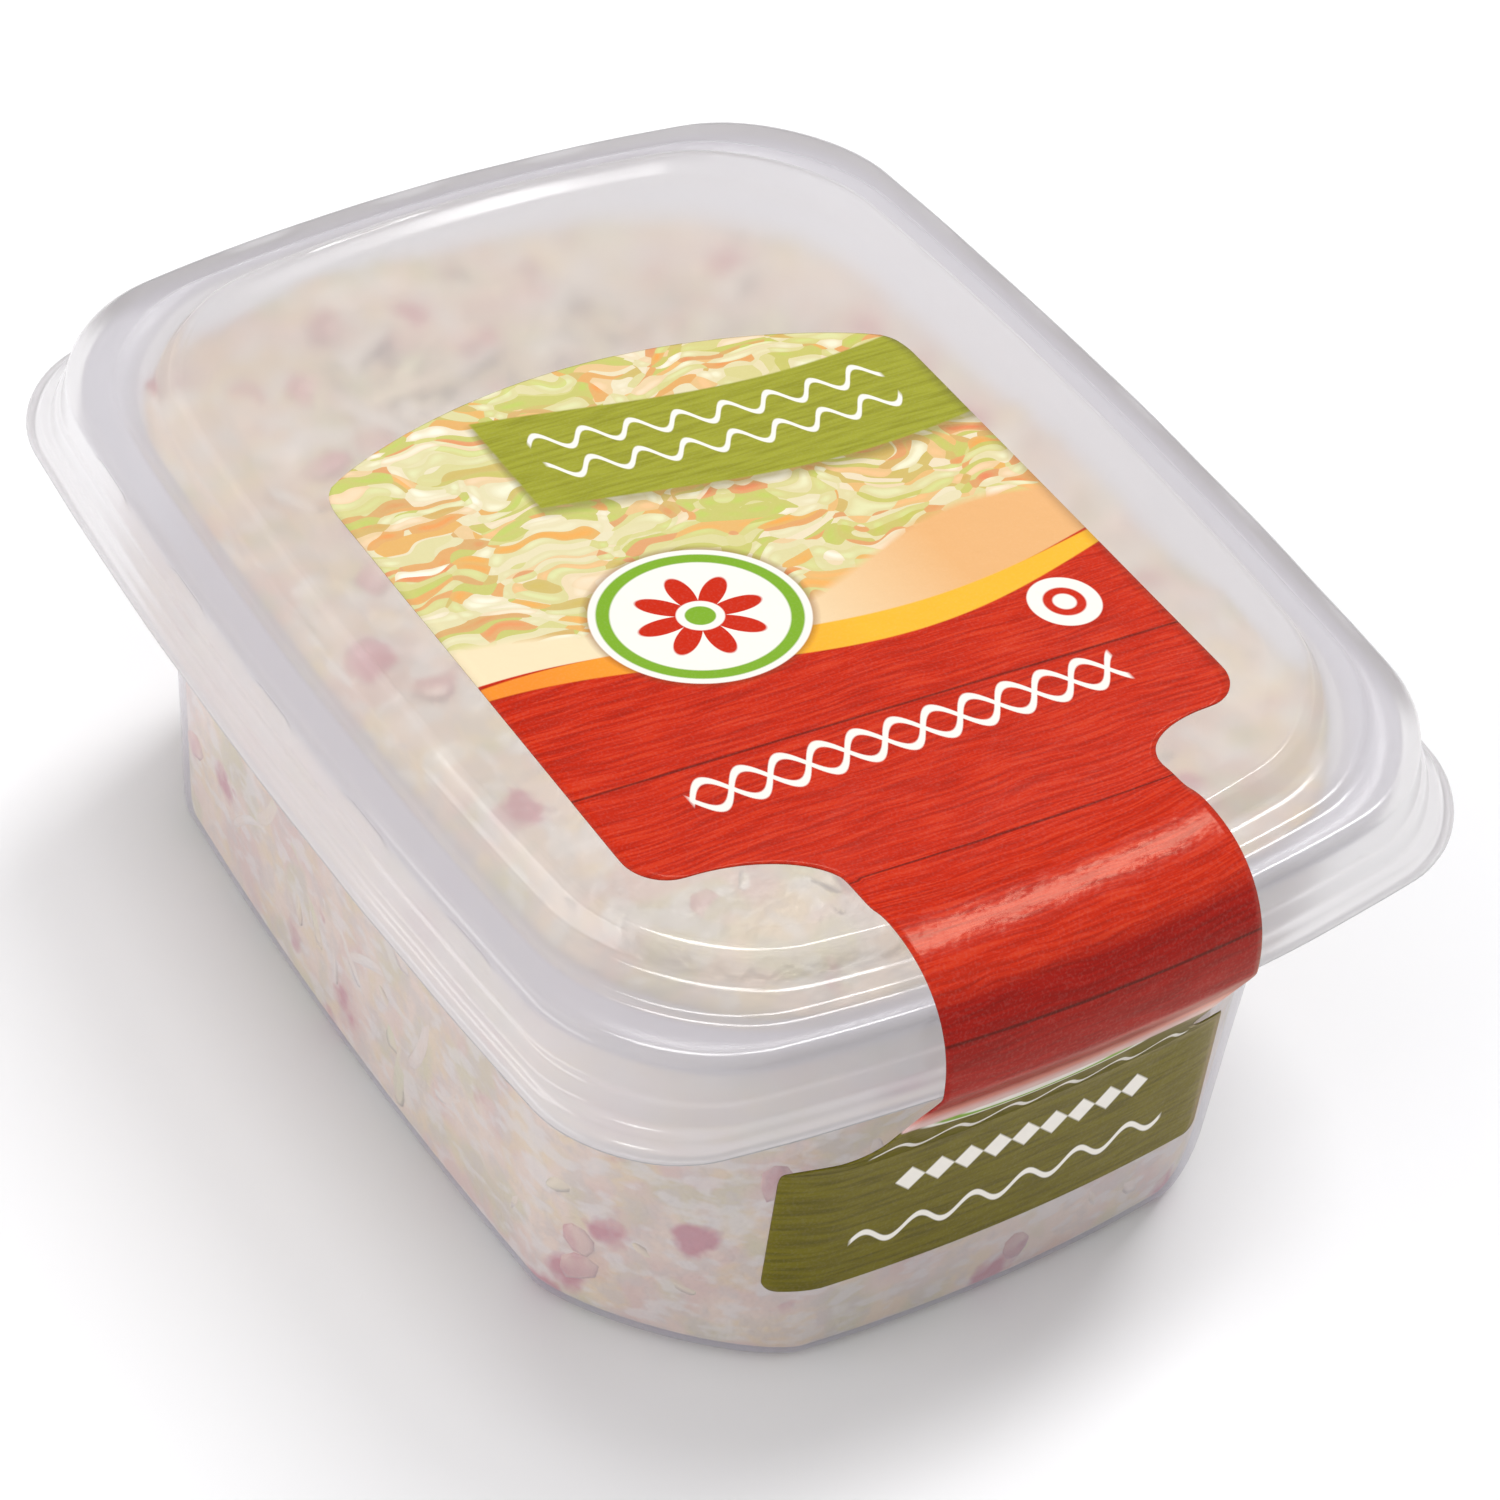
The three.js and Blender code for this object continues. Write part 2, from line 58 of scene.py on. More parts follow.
# Driving dimensions that the frame's boxes don't give
LEDGE_Z = LIP_Z + 9.4
PANEL_Z = CREST_Z - 0.9
BASE_X = 87.4
BASE_Y = 122.4
WALL_TOP_Z = 46.5
WALL_DRAFT = 0.03
PLASTIC = 0.8
LABEL_THICK = 0.2
LABEL_LIFT = 0.1  # the film's underside above the solid's, whose top it shares
LABEL_GAP = 0.2
LABEL_WALL_GAP = 0.4
FILL_Z = 50.0
FILL_TOP_Z = 56.8
FILL_SLOPE_X = -0.1
FILL_SLOPE_Y = -0.075
SEED = 7
noise.seed_set(SEED)  # without a seed, Blender's noise vectors start from the clock

# How round and how bowed an outline is
LID_BOW = {"bow_x": 3.1, "bow_y": 5.6, "soft": 2.0}
FOOT_SHAPE = {"corner": 17.5, "bow_x": 2.9, "bow_y": 4.6, "soft": 1.42}
SHOULDER_SHAPE = {"corner": 24.0, "bow_x": 3.0, "bow_y": 3.0, "soft": 2.1}

CORNER_STEPS = 18
LONG_STEPS = 84
SHORT_STEPS = 60
ARC_SHARE = 0.45  # the share of a straight stretch that the arc at its end may take
TINY = 1e-6


# Outlines and lofts
def straight(ring):
    """Half the length and half the width of an outline before its sides bow."""
    return ring["x"] - ring["bow_x"], ring["y"] - ring["bow_y"]


def bowed(ring, x, y):
    """A point of an outline with straight sides, moved out as far as the sides bow there."""
    a, b = straight(ring)
    return (
        x * (1 + ring["bow_x"] / a * (1 - (y / b) ** 2)),
        y * (1 + ring["bow_y"] / b * (1 - (x / a) ** 2)),
    )


def outline(ring, corner_steps=CORNER_STEPS, long_steps=LONG_STEPS, short_steps=SHORT_STEPS):
    """A rounded rectangle with bowed sides, counter-clockwise from above, as points in mm."""
    a, b = straight(ring)
    r = ring["corner"]
    flat = []
    corners = [(1, 1), (-1, 1), (-1, -1), (1, -1)]
    for i, (sx, sy) in enumerate(corners):
        arc = []
        for k in range(corner_steps + 1):
            t = k / corner_steps * math.pi / 2
            u = max(math.cos(t), 0.0) ** (2 / ring["soft"])
            v = max(math.sin(t), 0.0) ** (2 / ring["soft"])
            arc.append((sx * (a - r + r * u), sy * (b - r + r * v)))
        if i % 2 == 1:
            arc.reverse()
        flat += arc
        nx, ny = corners[(i + 1) % 4]
        start = arc[-1]
        end = (nx * (a - r), ny * b) if i % 2 == 0 else (nx * a, ny * (b - r))
        steps = short_steps if i % 2 == 0 else long_steps
        for k in range(1, steps):
            t = k / steps
            flat.append((start[0] + (end[0] - start[0]) * t, start[1] + (end[1] - start[1]) * t))
    return [(*bowed(ring, x, y), ring["z"]) for x, y in flat]


def front_y(ring, x):
    """The y of an outline's front side at a given x."""
    a, b = straight(ring)
    past = min(max(abs(x) - (a - ring["corner"]), 0) / ring["corner"], 1)
    y = b - ring["corner"] * (1 - (1 - past ** ring["soft"]) ** (1 / ring["soft"]))
    return bowed(ring, x, -y)[1]


def kept_inside(x, y, ring):
    """The point itself, or the nearest one on the outline where it lies outside."""
    a, b = straight(ring)
    r = ring["corner"]
    bulge_x = 1 + ring["bow_x"] / a * (1 - min(abs(y / b), 1) ** 2)
    u = max(-a, min(a, x / bulge_x))
    bulge_y = 1 + ring["bow_y"] / b * (1 - (u / a) ** 2)
    v = max(-b, min(b, y / bulge_y))
    past_u = abs(u) - (a - r)
    past_v = abs(v) - (b - r)
    if past_u > 0 and past_v > 0:
        far = (past_u / r) ** ring["soft"] + (past_v / r) ** ring["soft"]
        if far > 1:
            pull = far ** (-1 / ring["soft"])
            u = math.copysign(a - r + past_u * pull, u)
            v = math.copysign(b - r + past_v * pull, v)
    return bowed(ring, u, v)


def between(ring_a, ring_b, t, z=None):
    """A ring that is a share t of the way from one to the other, at a height of its own if given."""
    mixed = {key: ring_a[key] + (ring_b[key] - ring_a[key]) * t for key in ring_a}
    if z is not None:
        mixed["z"] = z
    return mixed


def apart(ring_a, ring_b):
    return math.hypot(ring_b["x"] - ring_a["x"], ring_b["z"] - ring_a["z"])


def rounded(rings, radius, steps=4, row=3.0):
    """The rings with a small arc at each turn, and with rows along the longer straight stretches."""
    made = [rings[0]]

    def go_to(ring):
        rows = int(apart(made[-1], ring) // row)
        start = made[-1]
        made.extend(between(start, ring, k / (rows + 1)) for k in range(1, rows + 1))
        made.append(ring)

    for before, here, after in zip(rings, rings[1:], rings[2:]):
        start = between(here, before, min(radius / max(apart(before, here), TINY), ARC_SHARE))
        end = between(here, after, min(radius / max(apart(here, after), TINY), ARC_SHARE))
        go_to(start)
        for k in range(1, steps + 1):
            t = k / steps
            made.append(between(between(start, here, t), between(here, end, t), t))
    go_to(rings[-1])
    return made


def loft(outlines):
    """Points and faces of a closed body from outlines with the same count of points."""
    count = len(outlines[0])
    points = [point for row in outlines for point in row]
    faces = []
    for i in range(len(outlines) - 1):
        for k in range(count):
            a = i * count + k
            b = i * count + (k + 1) % count
            faces.append((a, b, b + count, a + count))
    for row, flip in ((0, True), (len(outlines) - 1, False)):
        points.append(tuple(sum(point[j] for point in outlines[row]) / count for j in range(3)))
        middle = len(points) - 1
        for k in range(count):
            a = row * count + k
            b = row * count + (k + 1) % count
            faces.append((middle, b, a) if flip else (middle, a, b))
    return points, faces


def moved(profile, distance):
    """The same profile moved by a distance to its left, with mitred corners."""
    sides = []
    for before, after in zip(profile, profile[1:]):
        size = math.hypot(after["out"] - before["out"], after["z"] - before["z"])
        sides.append((-(after["z"] - before["z"]) / size, (after["out"] - before["out"]) / size))
    made = []
    for i, point in enumerate(profile):
        m = sides[max(i - 1, 0)]
        n = sides[min(i, len(sides) - 1)]
        scale = distance / (1 + m[0] * n[0] + m[1] * n[1])
        out = point["out"] + (m[0] + n[0]) * scale
        made.append({"out": out, "z": point["z"] + (m[1] + n[1]) * scale, "corner": point["corner"]})
    return made


def make_piece(name, points, faces, materials, node, tones=None, sides=None):
    """A mesh object from points in mm, on the part's one body and in place of its CAD node.
    Sides tell which of two materials each face has."""
    mesh = bpy.data.meshes.new(name)
    mesh.from_pydata([Vector(point) * MM for point in points], [], faces)
    mesh.update()
    mesh.shade_smooth()
    if tones:
        attribute = mesh.attributes.new("tone", "FLOAT", "POINT")
        attribute.data.foreach_set("value", tones)
    for material in materials:
        mesh.materials.append(material)
    if sides:
        mesh.polygons.foreach_set("material_index", sides)
    piece = bpy.data.objects.new(name, mesh)
    scene.collection.objects.link(piece)
    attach(piece, "root")
    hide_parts(node)
    return piece


def wavy(points, ring, deep=0.07, length=11.0):
    """The points with the slight unevenness of thin moulded plastic, kept within an outline."""
    made = []
    for point in points:
        shift = noise.noise_vector(Vector(point) / length) * deep * min(point[2] / length, 1)
        x, y = kept_inside(point[0] + shift.x, point[1] + shift.y, ring)
        made.append((x, y, point[2] + shift.z * (point[2] < CREST_Z - deep)))
    return made


def toward_middle(row, shares):
    """An outline's smaller copies, so that a flat face inside it has points of its own."""
    return [[(x * share, y * share, z) for x, y, z in row] for share in shares]


def inner_sides(rows, inner_rows, inner_cap):
    """1 for each face of the inside of a lofted shell, whose rows are the given ones, and else 0."""
    count = len(rows[0])
    sides = []
    for i in range(len(rows) - 1):
        sides += [1 if i in inner_rows else 0] * count
    return sides + [1 if inner_cap == 0 else 0] * count + [1 if inner_cap == 1 else 0] * count


# Shader helper
class Shader:
    """A material's nodes, with short calls to add and join them."""

    def __init__(self, name):
        self.material = bpy.data.materials.new(name)
        self.material.use_nodes = True
        self.tree = self.material.node_tree
        self.tree.nodes.clear()

    def node(self, kind, inputs=None, **settings):
        made = self.tree.nodes.new("ShaderNode" + kind)
        for key, value in settings.items():
            setattr(made, key, value)
        for key, value in (inputs or {}).items():
            if isinstance(value, bpy.types.NodeSocket):
                self.tree.links.new(value, made.inputs[key])
            else:
                made.inputs[key].default_value = value
        return made

    def calc(self, operation, a, b=0.0, c=0.0, clamp=False):
        made = self.node("Math", {0: a, 1: b, 2: c}, operation=operation, use_clamp=clamp)
        return made.outputs[0]

    def times(self, a, b):
        return self.calc("MULTIPLY", a, b)

    def plus(self, a, b):
        return self.calc("ADD", a, b)

    def less(self, a, b):
        return self.calc("SUBTRACT", a, b)

    def scaled(self, value, by, start, clamp=False):
        return self.calc("MULTIPLY_ADD", value, by, start, clamp)

    def below(self, value, edge, soft=0.15):
        """1 where the value is below the edge, else 0, with a soft change between."""
        gap = self.less(edge, value)
        return self.scaled(gap, 1 / soft, 0.5, clamp=True)

    def paint(self, under, over, share):
        made = self.node("Mix", {0: share, 6: under, 7: over}, data_type="RGBA")
        return made.outputs[2]

    def ramp(self, value, stops):
        made = self.node("ValToRGB", {0: value})
        elements = made.color_ramp.elements
        while len(elements) < len(stops):
            elements.new(0.5)
        for element, (place, colour) in zip(elements, stops):
            element.position = place
            element.color = colour
        return made.outputs[0]

    def noise(self, vector, scale, detail=2.0, roughness=0.5):
        inputs = {"Vector": vector, "Scale": scale, "Detail": detail, "Roughness": roughness}
        return self.node("TexNoise", inputs).outputs["Fac"]

    def cells(self, vector, scale, randomness=1.0):
        return self.node("TexVoronoi", {"Vector": vector, "Scale": scale, "Randomness": randomness})

    def place_mm(self):
        """The place on the piece, in mm."""
        coordinate = self.node("TexCoord").outputs["Object"]
        return self.node("VectorMath", {0: coordinate, 3: 1 / MM}, operation="SCALE").outputs[0]

    def stretched(self, vector, x, y, z):
        return self.node("VectorMath", {0: vector, 1: (x, y, z)}, operation="MULTIPLY").outputs[0]

    def bump(self, height, strength, distance):
        inputs = {"Height": height, "Strength": strength, "Distance": distance}
        return self.node("Bump", inputs).outputs[0]

    def finish(self, surface):
        self.node("OutputMaterial", {"Surface": surface})
        return self.material


def rgb(red, green, blue):
    """A display colour, 0 to 255, as the linear colour that a shader takes."""
    def linear(value):
        value /= 255
        return value / 12.92 if value <= 0.04045 else ((value + 0.055) / 1.055) ** 2.4
    return (linear(red), linear(green), linear(blue), 1.0)


# Materials
CLEAR = (0.99, 0.99, 0.99, 1.0)
GLOSS_FACING = 0.045  # the plastic's share of gloss seen square on
GLOSS_GRAZING = 0.55  # and what is added to it towards its edges
GLOSS_POWER = 4.0


def milky_plastic(name, haze, tint, blur=0.0):
    """Clear plastic with a milky haze: it hides a share of what is behind it, and can blur the rest."""
    s = Shader(name)
    body = s.node("BsdfPrincipled", {"Base Color": tint, "Roughness": 0.5, "Specular IOR Level": 0.0})
    if blur:
        clear = s.node("BsdfRefraction", {"Color": (0.98, 0.98, 0.98, 1.0), "Roughness": blur, "IOR": 1.2})
    else:
        clear = s.node("BsdfTransparent", {"Color": CLEAR})
    veil = s.node("MixShader", {0: haze, 1: clear.outputs[0], 2: body.outputs[0]})
    gloss = s.node("BsdfGlossy", {"Color": (1, 1, 1, 1), "Roughness": 0.13})
    facing = s.node("LayerWeight", {"Blend": 0.5}).outputs["Facing"]
    shine = s.scaled(s.calc("POWER", facing, GLOSS_POWER), GLOSS_GRAZING, GLOSS_FACING)
    return s.finish(s.node("MixShader", {0: shine, 1: veil.outputs[0], 2: gloss.outputs[0]}).outputs[0])


def clear_inside():
    """The inner surface of the plastic, which adds neither haze nor gloss of its own."""
    s = Shader("clear_inside")
    return s.finish(s.node("BsdfTransparent", {"Color": CLEAR}).outputs[0])


CREAM = rgb(253, 224, 190)
CABBAGE_GREEN = rgb(228, 230, 170)
CABBAGE_WHITE = rgb(250, 244, 230)
CABBAGE_YELLOW = rgb(246, 232, 176)
CARROT = rgb(238, 158, 84)
CARROT_PALE = rgb(246, 190, 120)
HAM = rgb(206, 92, 88)
HAM_DARK = rgb(170, 56, 62)
HAM_PALE = rgb(232, 160, 150)

# Broad patches in the dressing, each painted over the last where its noise is below a level
DRESSING_PATCHES = [
    {"colour": rgb(240, 200, 172), "scale": 0.11, "level": 0.48, "soft": 0.16, "strength": 1.0},
    {"colour": rgb(250, 222, 150), "scale": 0.17, "level": 0.44, "stretch": (0.8, 1.1, 1.0)},
    {"colour": rgb(216, 212, 142), "scale": 0.13, "level": 0.4},
    {"colour": rgb(222, 206, 186), "scale": 0.34, "level": 0.46, "soft": 0.14, "detail": 3.0,
     "roughness": 0.6},
    {"colour": rgb(250, 243, 230), "scale": 0.5, "level": 0.44, "stretch": (0.5, 0.5, 0.9), "detail": 2.0},
]
# And spots where carrot or ham lies just under the surface: cell size in mm and share of cells with one
DRESSING_SPOTS = [
    {"colour": rgb(236, 176, 116), "cell": 9.0, "share": 0.07, "strength": 0.5},
    {"colour": HAM, "cell": 8.0, "share": 0.24, "strength": 0.95},
]
SPOT_RADIUS = 0.3  # in cells
SPOT_SHIFT = 3.2  # how far the spots are bent out of round, in mm


def patched(s, under, place, colour, scale, level, soft=0.1, strength=0.6, detail=1.0, roughness=0.5,
            stretch=(1.0, 1.0, 1.0)):
    """A colour painted in broad patches, where a noise is below a level."""
    shown = s.below(s.noise(s.stretched(place, *stretch), scale, detail, roughness), level, soft)
    return s.paint(under, colour, s.times(shown, strength))


def spotted(s, under, place, colour, cell, share, strength):
    """A colour painted in soft round spots: a share of the cells of this size has one."""
    bent = s.node("TexNoise", {"Vector": place, "Scale": 0.35, "Detail": 2.0})
    shift = s.node("VectorMath", {0: bent.outputs["Color"], 3: SPOT_SHIFT}, operation="SCALE").outputs[0]
    where = s.node("VectorMath", {0: place, 1: shift}, operation="ADD").outputs[0]
    cells = s.cells(where, 1 / cell)
    picked = s.node("SeparateColor", {0: cells.outputs["Color"]}).outputs[0]
    shown = s.times(s.below(cells.outputs["Distance"], SPOT_RADIUS, 0.16), s.below(picked, share, 0.01))
    return s.paint(under, colour, s.times(shown, strength))


def dressing_material():
    """Creamy dressing with what lies just under its surface showing through as soft patches."""
    s = Shader("creamy_dressing")
    place = s.place_mm()
    colour = CREAM
    for patch in DRESSING_PATCHES:
        colour = patched(s, colour, place, **patch)
    for spots in DRESSING_SPOTS:
        colour = spotted(s, colour, place, **spots)
    normal = s.bump(s.noise(place, 0.9, 1.0), 0.4, 0.6 * MM)
    body = s.node("BsdfPrincipled", {"Base Color": colour, "Roughness": 0.36, "Normal": normal})
    return s.finish(body.outputs[0])


COAT_LEAST = 0.25  # how much dressing covers a piece where there is least of it
COAT_MORE = 0.45  # and how much more where there is most


def piece_material(name, stops, roughness):
    """A moist piece of salad: its own tone from the attribute, mottled, with dressing on it."""
    s = Shader(name)
    place = s.place_mm()
    tone = s.node("Attribute", attribute_name="tone").outputs["Fac"]
    uneven = s.less(s.noise(place, 0.7, 1.0), 0.5)
    colour = s.ramp(s.scaled(uneven, 0.5, tone, clamp=True), stops)
    coat = s.below(s.noise(place, 0.28, 1.0), 0.52, 0.24)
    colour = s.paint(colour, CREAM, s.scaled(coat, COAT_MORE, COAT_LEAST))
    normal = s.bump(s.noise(place, 1.6, 1.0), 0.3, 0.4 * MM)
    body = s.node("BsdfPrincipled", {"Base Color": colour, "Roughness": roughness, "Normal": normal})
    return s.finish(body.outputs[0])


# The label's print, in mm: u across, v along the film from the middle of the panel to the front
RED = rgb(200, 38, 8)
RED_LIGHT = rgb(216, 72, 38)
RED_DARK = rgb(140, 20, 6)
OLIVE = rgb(160, 162, 54)
OLIVE_DEEP = rgb(128, 128, 32)
# Painted shade: the print's red is multiplied by this on the film's front, where it turns down over the
# lid
FRONT_PAINTED_SHADE = rgb(200, 92, 72)  # what deepens the red below the lid's edge
# Painted shade: the lid's olive, painted darker for the panel on the wall, which faces the front
OLIVE_FRONT_SHADED = rgb(106, 99, 8)
OLIVE_FRONT_SHADED_DEEP = rgb(84, 78, 4)
LEAF_GREEN = rgb(126, 172, 44)
ORANGE = rgb(240, 142, 46)
YELLOW = rgb(246, 184, 52)
PAPER = rgb(244, 240, 232)
PEACH = rgb(232, 178, 120)
OLIVE_TOP_Z = 39.0  # height where the lower panel's field of green starts
RED_END_Z = 43.5
MEDALLION = {"u": -11.0, "v": 13.0, "radius": 11.4, "squash": 1.12}
BADGE = {"u": 23.5, "v": 26.0, "radius": 3.8}
STRIPE = {"start": 17.0, "size": 3.4, "length": 88.0, "phase": 0.9}  # where the red field starts
SHREDS_END = {"start": 12.0, "size": 4.0, "length": 60.0, "phase": 2.2}
BAND = {"start": -14.0, "size": 3.0, "length": 96.0, "phase": 0.4}  # the olive band's middle
BAND_HALF = 7.6
BAND_FROM_U = -17.0
BAND_LINES = ((-17.0, 0.0), (-12.2, 1.9))  # each wavy line's start and phase
FRONT_LINES = ((33.2, 0.0), (18.6, 1.0))  # each wavy line's height and phase on the lower panel
TWIST_V = 36.5
DIAMONDS_Z = 26.0
DIAMOND_PITCH = 3.4
LINE_HALF = 0.42  # half the width of a drawn line
BOARD_WIDTH = 20.4
GRAIN_ALONG = 0.08  # the grain's scale along itself, against 1 across it


class Print(Shader):
    """The label's drawing tools, on the film's own coordinates."""

    def __init__(self, name):
        super().__init__(name)
        sheet = self.node("SeparateXYZ", {0: self.node("UVMap", uv_map="sheet").outputs[0]})
        self.u = sheet.outputs[0]
        self.v = sheet.outputs[1]
        self.place = self.place_mm()
        self.height = self.node("SeparateXYZ", {0: self.place}).outputs[2]
        self.flat = self.node("CombineXYZ", {0: self.u, 1: self.v}).outputs[0]

    def wave(self, start, size, length, phase=0.0):
        """A wavy line's v at each u."""
        turn = self.scaled(self.u, 2 * math.pi / length, phase)
        return self.scaled(self.calc("SINE", turn), size, start)

    def near(self, value, line, half, soft=0.2):
        """1 within a distance of a line, else 0."""
        gap = self.calc("ABSOLUTE", self.less(value, line))
        return self.below(gap, half, soft)

    def from_point(self, u, v, squash=1.0):
        """How far across, how far along and how far in all a place is from a point."""
        du = self.less(self.u, u)
        dv = self.times(self.less(self.v, v), squash)
        square = self.plus(self.times(du, du), self.times(dv, dv))
        return du, dv, self.calc("SQRT", square)

    def between_u(self, low, high, soft=0.4):
        return self.times(self.below(self.u, high, soft), self.below(low, self.u, soft))

    def grain_place(self, along, scale=GRAIN_ALONG):
        """Coordinates for a grain that runs across the label."""
        return self.node("CombineXYZ", {0: self.times(self.u, scale), 1: along}).outputs[0]


def wood_grain(s, colour):
    """Red painted boards: fine grain along them, a darker line between two boards; one such line sits just
    above the lid's lip as painted shade of the film's fold there.
    """
    bend = s.scaled(s.noise(s.flat, 0.06, 2.0), 2.6, s.v)
    grain = s.noise(s.grain_place(bend, 0.05), 2.1, 4.0, 0.65)
    colour = s.paint(colour, RED_DARK, s.times(s.below(grain, 0.45, 0.2), 0.55))
    colour = s.paint(colour, RED_LIGHT, s.times(s.below(0.58, grain, 0.16), 0.5))
    slant = s.scaled(s.u, -0.02, s.v)
    # Partly painted shade: this phase puts one board line just above the lip, in place of the dark fold of
    # the film over the lid's ledge
    board_and_fold_shade = s.calc("PINGPONG", s.plus(slant, 8.1), BOARD_WIDTH / 2)
    return s.paint(colour, rgb(96, 16, 10), s.times(s.below(board_and_fold_shade, 0.16, 0.2), 0.8))


def confetti(s, colour):
    """Shreds in salad colours, as a loose pattern of long cells."""
    tilt = s.scaled(s.noise(s.flat, 0.12, 1.0), 9.0, s.v)
    across = s.scaled(s.noise(s.flat, 0.1, 1.0), 12.0, s.times(s.u, 0.34))
    where = s.node("CombineXYZ", {0: across, 1: tilt}).outputs[0]
    cells = s.cells(where, 0.8)
    pick = s.node("SeparateColor", {0: cells.outputs["Color"]}).outputs[1]
    stops = [
        (0.0, rgb(248, 242, 222)), (0.28, rgb(206, 214, 128)), (0.46, rgb(250, 246, 230)),
        (0.62, rgb(238, 168, 72)), (0.76, rgb(226, 128, 92)), (0.88, rgb(188, 202, 96)),
    ]
    bits = s.ramp(pick, stops)
    shade = s.below(0.34, cells.outputs["Distance"], 0.3)
    bits = s.paint(bits, rgb(206, 184, 120), s.times(shade, 0.4))
    return s.paint(colour, bits, 0.92)


def medallion(s, colour):
    """A white disc with a green ring and a plain flower with eight petals."""
    radius = MEDALLION["radius"]
    du, dv, far = s.from_point(MEDALLION["u"], MEDALLION["v"], MEDALLION["squash"])
    colour = s.paint(colour, rgb(120, 60, 30), s.times(s.below(far, radius + 0.5, 0.8), 0.5))
    colour = s.paint(colour, PAPER, s.below(far, radius))
    colour = s.paint(colour, LEAF_GREEN, s.near(far, radius - 1.5, 0.7))
    angle = s.calc("ARCTAN2", dv, du)
    petals = s.calc("ABSOLUTE", s.calc("COSINE", s.times(angle, 4.0)))
    edge = s.scaled(petals, 4.4, 2.6)
    colour = s.paint(colour, RED, s.below(far, edge, 0.3))
    colour = s.paint(colour, PAPER, s.below(far, 2.5))
    return s.paint(colour, LEAF_GREEN, s.below(far, 1.6))


def top_print(s):
    """The print of the wide panel and of the strip over the lid's edge."""
    stripe = s.wave(**STRIPE)
    colour = s.paint(PEACH, rgb(240, 222, 184), s.below(s.u, 4.0, 26.0))
    colour = s.paint(colour, confetti(s, colour), s.below(s.v, s.wave(**SHREDS_END), 1.2))
    band_line = s.wave(**BAND)
    band = s.times(s.near(s.v, band_line, BAND_HALF, 0.25), s.below(BAND_FROM_U, s.u, 0.3))
    grain = s.noise(s.grain_place(s.v), 1.8, 4.0)
    olive = s.paint(OLIVE, OLIVE_DEEP, s.times(s.below(grain, 0.46, 0.25), 0.6))
    colour = s.paint(colour, rgb(120, 110, 60), s.times(
        s.times(s.near(s.v, s.plus(band_line, 0.9), BAND_HALF + 0.3, 1.4), 0.6),
        s.below(BAND_FROM_U - 0.6, s.u, 0.8),
    ))
    colour = s.paint(colour, olive, band)
    for start, phase in BAND_LINES:
        line = s.plus(s.wave(start, 1.3, 5.2, phase), s.wave(0.0, 2.4, BAND["length"], BAND["phase"]))
        curl = s.near(s.v, line, LINE_HALF)
        colour = s.paint(colour, PAPER, s.times(curl, s.between_u(-13.0, 27.0)))
    red = wood_grain(s, RED)
    colour = s.paint(colour, red, s.below(stripe, s.v))
    shine = s.paint(ORANGE, YELLOW, s.below(-14.0, s.u, 34.0))
    thick = s.scaled(s.calc("COSINE", s.times(s.u, 0.05)), 0.9, 1.1)
    colour = s.paint(colour, shine, s.near(s.v, s.plus(stripe, 1.4), thick))
    colour = medallion(s, colour)
    for phase in (0.0, math.pi):
        twist = s.near(s.v, s.wave(TWIST_V, 2.1, 8.6, phase), 0.5)
        colour = s.paint(colour, PAPER, s.times(twist, s.between_u(-26.0, 23.0)))
    far = s.from_point(BADGE["u"], BADGE["v"])[2]
    colour = s.paint(colour, PAPER, s.below(far, BADGE["radius"]))
    return s.paint(colour, RED, s.near(far, BADGE["radius"] * 0.45, 0.5))


def low_print(s):
    """The print on the wall: olive darkened by painted shade, with wavy lines, a row of diamonds and the
    edge of an oval.
    """
    grain = s.noise(s.grain_place(s.height), 1.8, 4.0)
    # Painted shade: the olive here is darker than on the lid, as if the wall's front face lay in shade
    colour = s.paint(OLIVE_FRONT_SHADED, OLIVE_FRONT_SHADED_DEEP, s.below(grain, 0.46, 0.25))
    for level, phase in FRONT_LINES:
        row = s.near(s.height, s.wave(level, 1.1, 6.4, phase), LINE_HALF)
        colour = s.paint(colour, PAPER, s.times(row, s.between_u(-20.0, 18.0)))
    half = DIAMOND_PITCH / 2
    across = s.less(s.calc("PINGPONG", s.plus(s.u, 60.0), DIAMOND_PITCH), half)
    up = s.calc("ABSOLUTE", s.less(s.height, DIAMONDS_Z))
    diamond = s.below(s.plus(s.calc("ABSOLUTE", across), up), half, 0.3)
    colour = s.paint(colour, PAPER, s.times(diamond, s.between_u(-15.8, 14.8, 0.05)))
    rim_u = s.times(s.less(s.u, -4.0), 0.2)
    rim_z = s.less(s.height, OLIVE_TOP_Z)
    square = s.plus(s.times(rim_u, rim_u), s.times(rim_z, rim_z))
    far = s.calc("SQRT", square)
    colour = s.paint(colour, PAPER, s.below(far, 2.6, 0.2))
    return s.paint(colour, LEAF_GREEN, s.near(far, 2.0, 0.3))


WARM_GLOSS = (1.0, 0.74, 0.54, 1.0)


